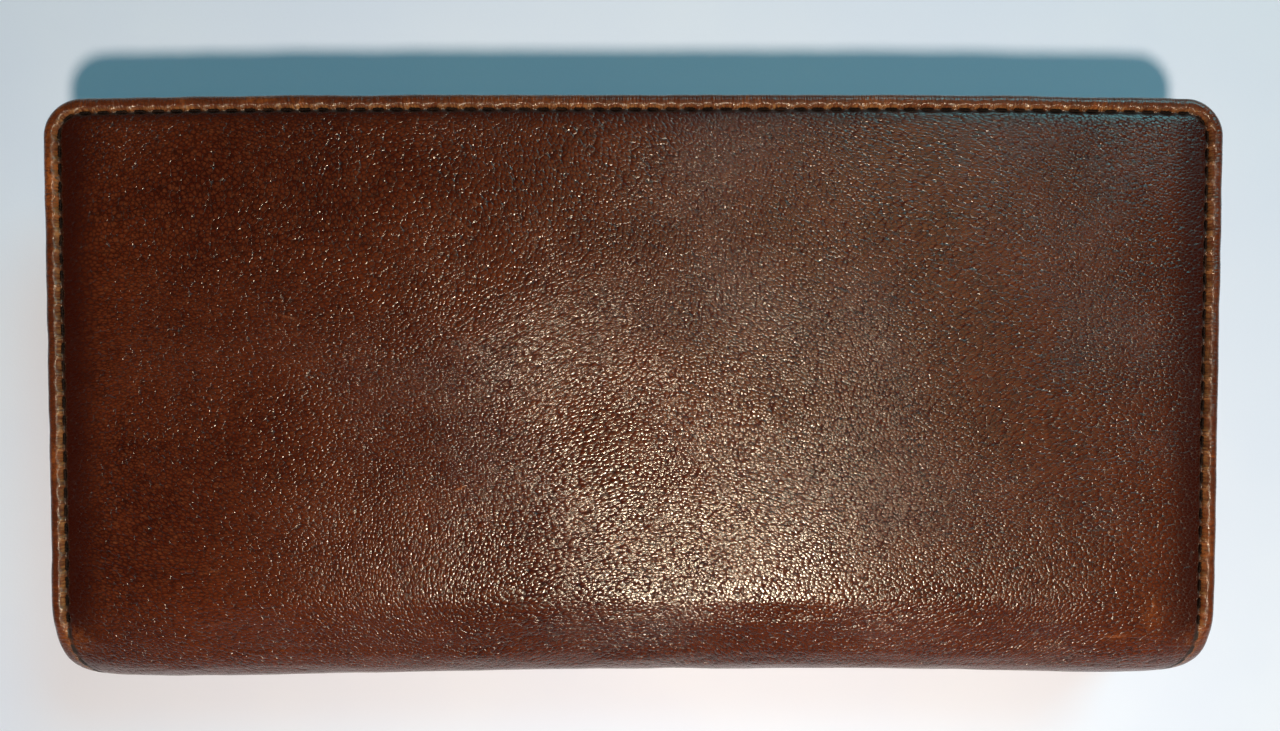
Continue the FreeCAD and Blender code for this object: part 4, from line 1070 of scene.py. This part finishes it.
def strip(name, pts, rad, t, e0, e1, place3, step, mat, wob=None, finer=0.5, swell=None):
    """A strip of leather or tape bent across its width. pts: its section; place3(a, b, e) puts a point of the section at e along it."""
    path, s = round_path(pts, rad)
    # even samples along the section
    q = np.unique(np.concatenate([s, np.arange(0, s[-1], finer)]))
    q = q[np.concatenate([[True], np.diff(q) > 0.04])]
    P = np.stack([np.interp(q, s, path[:, 0]), np.interp(q, s, path[:, 1])], -1)
    T = np.gradient(P, axis=0)
    T /= np.linalg.norm(T, axis=1)[:, None]
    N = np.stack([-T[:, 1], T[:, 0]], -1)
    n = len(q)
    ring, rs = [], []
    for i in range(n):
        ring.append((P[i], N[i], 1.0, 0.0, q[i]))
    for ang in (60, 30, 0, -30, -60):
        ring.append((P[-1], N[-1], math.sin(math.radians(ang)), math.cos(math.radians(ang)), q[-1]))
    for i in reversed(range(n)):
        ring.append((P[i], N[i], -1.0, 0.0, q[i]))
    for ang in (-60, -30, 0, 30, 60):
        ring.append((P[0], N[0], math.sin(math.radians(ang)), -math.cos(math.radians(ang)), q[0]))
    m = len(ring)
    es = graded(e0, e1, step, t)
    co, lc, w, rim = [], [], [], []
    for e in es:
        edge = min(e - e0, e1 - e)
        tt = t * (0.5 - 0.28 * (1 - min(1, edge / (0.6 * t))) ** 2) + (swell(e) if swell else 0.0)
        for p, nn, c, cap, qq in ring:
            tan = T[-1] if cap > 0 else T[0]
            a = p + nn * tt * c + tan * abs(cap) * tt * (1 if cap > 0 else -1)
            if wob is not None:
                a = a + wob(qq, e)
            co.append(place3(a[0], a[1], e))
            lc.append((e, qq + (0 if c >= 0 else 0.0), 0.0 if c > 0 else 2.0))
            w.append(qq / q[-1])
            rim.append(1.0 if cap != 0 or edge < 0.1 else 0.0)
    idx = np.arange(len(co)).reshape(len(es), m)
    j = np.roll(idx, -1, 1)
    faces = np.stack([idx[:-1].ravel(), idx[1:].ravel(), j[1:].ravel(), j[:-1].ravel()], 1).tolist()
    # ends, in bands between the two faces
    for row in (0, -1):
        r_ = idx[row]
        top_, bot_ = list(r_[:n]), list(r_[n + 5:2 * n + 5][::-1])
        for i in range(n - 1):
            faces.append([int(top_[i]), int(top_[i + 1]), int(bot_[i + 1]), int(bot_[i])])
        capa = [int(top_[-1])] + [int(x) for x in r_[n:n + 5]] + [int(bot_[-1])]
        capb = [int(bot_[0])] + [int(x) for x in r_[2 * n + 5:]] + [int(top_[0])]
        faces += [capa, capb]
    _count[0] += 1
    lc = np.array(lc) + np.array([41.0 * _count[0], 53.0 * _count[0] % 197, 0])
    ob = mesh_object(name, np.array(co), faces, mat, attrs={"leather_co": ("FLOAT_VECTOR", lc), "cloth_co": ("FLOAT_VECTOR", lc), "rim": ("FLOAT", np.array(rim))})
    tidy(ob)
    return ob, np.array(w)


for side, sg in (("left", -1), ("right", 1)):
    lo, hi = mmbox("back_gusset_" + side)
    wv = waves(80 + sg, 16, 14)
    z0, z1 = lo[2], hi[2]
    pts = [(92.5, z0 + 0.24), (86.0, z0 + 0.26), (84.75, (z0 + z1) / 2), (86.0, z1 - 0.24), (89.5, z1 - 0.23)]
    ob, w = strip("gusset_back_" + side, pts, [0.8, 0.9, 0.8], 0.45, lo[1], hi[1], lambda a, b, e, sg=sg: (sg * a, e, b), 1.5, MAT_INNER,
                  wob=lambda q, e, wv=wv: np.array([0.16 * wv(e, 0.0) * math.exp(-((q - 8.6) / 3.0) ** 2), 0.0]), swell=lambda e, h=hi: 0.05 * math.exp(-((e - h[1] + 0.8) / 0.6) ** 2))
    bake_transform(ob)
    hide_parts("back_gusset_" + side)
    lo, hi = mmbox("front_gusset_" + side)
    z0, z1 = lo[2], hi[2]
    pts = [(92.5, z1 - 0.21), (85.6, z1 - 0.21), (84.8, (z0 + z1) / 2), (85.6, z0 + 0.21), (89.4, z0 + 0.21)]
    ob, w = strip("gusset_front_" + side, pts, [0.3, 0.35, 0.3], 0.38, lo[1], hi[1], lambda a, b, e, sg=sg: (sg * a, e, b), 1.5, MAT_INNER,
                  wob=lambda q, e, wv=wv: np.array([0.12 * wv(e, 9.0) * math.exp(-((q - 7.6) / 2.5) ** 2), 0.0]))
    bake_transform(ob)
    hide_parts("front_gusset_" + side)

MAT_TAPE = woven("zip_tape", rgb(34, 20, 14), rgb(46, 29, 20), rgb(58, 38, 26), pitch=0.36, rough=0.82, sheen=0.15)
for nm in ("front", "rear"):
    lo, hi = mmbox("zip_tape_" + nm)
    front = nm == "front"
    zm = 14.5
    zi = lo[2] + 0.18 if front else hi[2] - 0.18
    s_ = 1 if front else -1
    yt = hi[1] - 0.17
    pts = [(lo[1] + 0.2, zi), (yt, zi), (yt, (hi[2] if front else lo[2]) - s_ * 0.55), (yt, (hi[2] if front else lo[2]) - s_ * 0.16)]
    ob, w = strip("zip_tape_woven_" + nm, pts, [0.55, 0.2], 0.34, lo[0], hi[0], lambda a, b, e: (e, a, b), 2.4, MAT_TAPE)
    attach(ob, "coin_panel")
    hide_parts("zip_tape_" + nm)


# ------------------------------------------------------------------ brass
def brass(name, dark, mid, bright, rough=(0.24, 0.46)):
    k = Mat(name)
    co = k.object_mm()
    n = k.noise(co, 0.55, 4.0, 0.65)
    fine = k.noise(co, 6.0, 3.0, 0.7)
    base = k.mix(k.remap(n, 0.35, 0.65), dark, mid)
    base = k.mix(k.math("MULTIPLY", k.remap(fine, 0.5, 0.72), 0.6), base, bright)
    k.link(base, k.bsdf.inputs["Base Color"])
    scr = k.noise(k.mapping(co, scale=(12.0, 1.2, 1.2), rot=(0.3, 0.2, 0.7)), 1.0, 3.0, 0.6)
    k.link(k.remap(k.math("ADD", k.math("MULTIPLY", n, 0.6), k.math("MULTIPLY", scr, 0.4)), 0.35, 0.65, rough[0], rough[1]), k.bsdf.inputs["Roughness"])
    k.link(k.bump(k.math("ADD", scr, k.math("MULTIPLY", fine, 0.5)), 0.012), k.bsdf.inputs["Normal"])
    k.set(Metallic=1.0)
    return k.m


MAT_BRASS = brass("antique_brass", rgb(116, 88, 50), rgb(168, 134, 82), rgb(208, 176, 122))


def teeth(name, node, base_z, nose_z):
    lo, hi = mmbox(node)
    h = hi[1] - lo[1]
    ym_ = (hi[1] + lo[1]) / 2
    L = nose_z - base_z
    sec = [(0.0, 0.62, 0.74), (0.03, 0.86, 0.92), (0.10, 0.98, 1.0), (0.40, 0.98, 1.0), (0.47, 0.66, 0.90), (0.62, 0.62, 0.86), (0.70, 0.90, 0.88), (0.88, 0.90, 0.86), (0.96, 0.74, 0.74), (1.0, 0.50, 0.55)]
    m = 14
    ang = np.arange(m) * 2 * math.pi / m
    cx = np.sign(np.cos(ang)) * np.abs(np.cos(ang)) ** 0.42
    cy = np.sign(np.sin(ang)) * np.abs(np.sin(ang)) ** 0.42
    one = []
    for t, w, g in sec:
        one.append(np.stack([cx * 0.475 * w, cy * h / 2 * g, 0 * cx + base_z + L * t], -1))
    one = np.array(one)
    # a nub on one face of the head and a dent on the other, which lock into the next tooth
    zz = one[..., 2]
    head = np.exp(-((zz - (base_z + 0.79 * L)) / (abs(L) * 0.10)) ** 2) * (np.abs(one[..., 1]) < h * 0.30)
    one[..., 0] += 0.10 * head * np.sign(one[..., 0]).clip(0, 1) - 0.05 * head * (one[..., 0] < 0) * -1
    first, last = lo[0] + 0.475, hi[0] - 0.475
    n = int(round((last - first) / 2.2)) + 1
    co, faces = [], []
    k = len(sec)
    for i in range(n):
        b = i * k * m
        co.append((one + np.array([first + 2.2 * i, ym_, 0])).reshape(-1, 3))
        ix = b + np.arange(k * m).reshape(k, m)
        j = np.roll(ix, -1, 1)
        faces += np.stack([ix[:-1].ravel(), ix[1:].ravel(), j[1:].ravel(), j[:-1].ravel()], 1).tolist()
        faces.append(ix[0].tolist())
        faces.append(ix[-1][::-1].tolist())
    ob = mesh_object(name, np.concatenate(co), faces, MAT_BRASS)
    tidy(ob)
    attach(ob, "coin_panel")
    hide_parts(node)
    return ob


lo, hi = mmbox("zip_teeth_front")
teeth("zip_teeth_brass_front", "zip_teeth_front", lo[2], hi[2])
lo, hi = mmbox("zip_teeth_rear")
teeth("zip_teeth_brass_rear", "zip_teeth_rear", hi[2], lo[2])

# leather tab of the zip pull: two layers folded round the link's eye, sewn and with burnished edges
lo, hi = mmbox("zip_pull_tab")
zc = (lo[2] + hi[2]) / 2


def tab_face(U, V):
    e = np.minimum(np.minimum(V - lo[2], hi[2] - V), hi[0] - U)
    return -0.10 * g1(e, 0.85, 0.30) + 0.05 * g1(np.hypot((U - (lo[0] + 1.5)) / 1.6, (V - zc) / 4.0), 0.0, 1.0)


slab("pull_tab_leather", lo, hi, "pull", axes=(0, 2, 1), r=0.55, crn=1.3, step=0.5, top=tab_face, bot=tab_face, nodes=["zip_pull_tab"], mat=MAT_INNER)
tr = []
for z_, sgz in ((lo[2] + 0.85, 1), (hi[2] - 0.85, 1)):
    for yy, up in ((hi[1], 1), (lo[1], -1)):
        def f(s, a, b, z_=z_, yy=yy, up=up):
            return np.stack([s, yy - up * 0.06 + up * b, z_ + a], -1)
        tr.append((f, list(np.arange(lo[0] + 4.2, hi[0] - 1.6, 1.9))))
for yy, up in ((hi[1], 1), (lo[1], -1)):
    def f(s, a, b, yy=yy, up=up):
        return np.stack([hi[0] - 0.85 + a, yy - up * 0.06 + up * b, s], -1)
    tr.append((f, [zc - 1.0, zc + 1.0]))
ob = lay_thread("stitching_pull_tab", tr, ply=0.09, helix=0.075, length=1.45, dip=0.3, turn=0.7, seed=33)
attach(ob, "pull")

# slider: two crowned plates with curled sides, joined by the wedge that parts the teeth
lo, hi = mmbox("zip_slider")
zc, (ya, yb) = (lo[2] + hi[2]) / 2, (lo[1], hi[1])


def plate_face(amount, half):
    return lambda U, V: -amount * (((V - zc) / half) ** 2 + ((U - (lo[0] + hi[0]) / 2) / 5.2) ** 4)


for nm, y0, y1, z0, z1, x0, x1, cr in (
        ("slider_plate_top", yb - 0.80, yb, lo[2], hi[2], lo[0], hi[0], 1.9), ("slider_plate_bottom", ya, ya + 0.75, lo[2] + 0.25, hi[2] - 0.25, lo[0], hi[0], 1.7),
        ("slider_lip_top_near", yb - 1.35, yb - 0.35, lo[2], lo[2] + 0.6, lo[0] + 1.4, hi[0] - 1.4, 0.28), ("slider_lip_top_far", yb - 1.35, yb - 0.35, hi[2] - 0.6, hi[2], lo[0] + 1.4, hi[0] - 1.4, 0.28),
        ("slider_lip_bottom_near", ya + 0.35, ya + 1.2, lo[2] + 0.25, lo[2] + 0.65, lo[0] + 1.4, hi[0] - 1.4, 0.18), ("slider_lip_bottom_far", ya + 0.35, ya + 1.2, hi[2] - 0.65, hi[2] - 0.25, lo[0] + 1.4, hi[0] - 1.4, 0.18),
        ("slider_wedge", ya + 0.6, yb - 0.65, zc - 0.6, zc + 0.6, lo[0] + 0.3, lo[0] + 2.9, 0.55)):
    big = "plate" in nm
    slab(nm, (x0, y0, z0), (x1, y1, z1), "slider", mat=MAT_BRASS, axes=(0, 2, 1), r=0.30 if big else 0.16, crn=cr, step=0.35, nodes=["zip_slider"],
         top=plate_face(0.16, 2.9) if nm == "slider_plate_top" else None, bot=plate_face(0.14, 2.65) if nm == "slider_plate_bottom" else None)

for nm in ("zip_stops", "zip_slider_bail", "zip_pull_link", "zip_pull_rivet"):
    o = NODES[nm]
    for sl in o.material_slots:
        sl.material = MAT_BRASS
for nm in ("card_pocket_glue_strips", "slip_pocket_glue_strips", "front_panel_heel"):
    for sl in NODES[nm].material_slots:
        sl.material = MAT_BOARD if "glue" in nm else MAT_INNER_OBJ


# ------------------------------------------------------------------ floor, light and camera
def studio():
    k = Mat("floor_paper")
    co = k.object_mm()
    n = k.noise(k.mapping(co, scale=(1, 1, 1)), 0.02, 3.0)
    k.link(k.mix(k.remap(n, 0.3, 0.7), rgb(238, 238, 242), rgb(243, 242, 243)), k.bsdf.inputs["Base Color"])
    k.set(Roughness=0.55, Specular_IOR_Level=0.3)
    k.link(k.bump(k.noise(co, 2.0, 4.0, 0.7), 0.02), k.bsdf.inputs["Normal"])
    me = bpy.data.meshes.new("floor")
    s = 9.0
    me.from_pydata([(-s, -s, 0), (s, -s, 0), (s, s, 0), (-s, s, 0)], [], [(0, 1, 2, 3)])
    me.materials.append(k.m)
    fl = bpy.data.objects.new("floor", me)
    fl.location.z = -0.0001
    bpy.context.scene.collection.objects.link(fl)
    fl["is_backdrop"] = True

    def area(name, loc, target, size, power, color, shape="DISK", size_y=None):
        li = bpy.data.lights.new(name, "AREA")
        li.shape = shape
        li.size = size
        if size_y:
            li.size_y = size_y
        li.energy = power
        li.color = color
        ob = bpy.data.objects.new(name, li)
        ob.location = loc
        ob.rotation_euler = (Vector(target) - Vector(loc)).to_track_quat("-Z", "Y").to_euler()
        bpy.context.scene.collection.objects.link(ob)
        return ob

    area("key", (0.041, -0.173, 0.36), (0.0, 0.0, 0.0), 0.046, 1.46, (1.0, 0.92, 0.885))
    area("veil", (0.145, 0.045, 0.52), (0.03, 0.0, 0.0), 0.34, 0.19, (0.90, 1.0, 0.75), "RECTANGLE", 0.28)
    area("window", (1.0, 1.25, 1.15), (0.0, 0.0, 0.0), 0.95, 15.5, (0.18, 0.70, 1.0), "RECTANGLE", 0.75)
    # a cool room: dark overhead, paler round the walls
    w = bpy.data.worlds.new("room")
    bpy.context.scene.world = w
    w.use_nodes = True
    t = w.node_tree
    bg = t.nodes["Background"]
    tc = t.nodes.new("ShaderNodeTexCoord")
    sep = t.nodes.new("ShaderNodeSeparateXYZ")
    t.links.new(tc.outputs["Generated"], sep.inputs[0])
    mr = t.nodes.new("ShaderNodeMapRange")
    mr.interpolation_type = "SMOOTHSTEP"
    t.links.new(sep.outputs[2], mr.inputs[0])
    for i, v in enumerate((0.05, 0.28, 0.80, 0.006)):
        mr.inputs[i + 1].default_value = v
    t.links.new(mr.outputs[0], bg.inputs[1])
    bg.inputs[0].default_value = (0.52, 0.82, 1.0, 1.0)
    cam = bpy.data.cameras.new("camera")
    cam.lens = 26
    cam.sensor_width = 36
    cam.clip_start = 0.005
    co = bpy.data.objects.new("camera", cam)
    co.location = (0.0011, 0.0082, 0.171)
    back = (co.location - Vector((0.0011, 0.0039, 0.022))).normalized()
    right = Vector((0, 1, 0)).cross(back).normalized()
    up = back.cross(right)
    co.rotation_euler = Matrix((right, up, back)).transposed().to_euler()
    bpy.context.scene.collection.objects.link(co)
    bpy.context.scene.camera = co
    bpy.context.scene.view_settings.view_transform = "Standard"


studio()
lo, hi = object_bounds()
{"cad": [list(map(float, cad_lo)), list(map(float, cad_hi))], "visual": [list(map(float, lo)), list(map(float, hi))]}
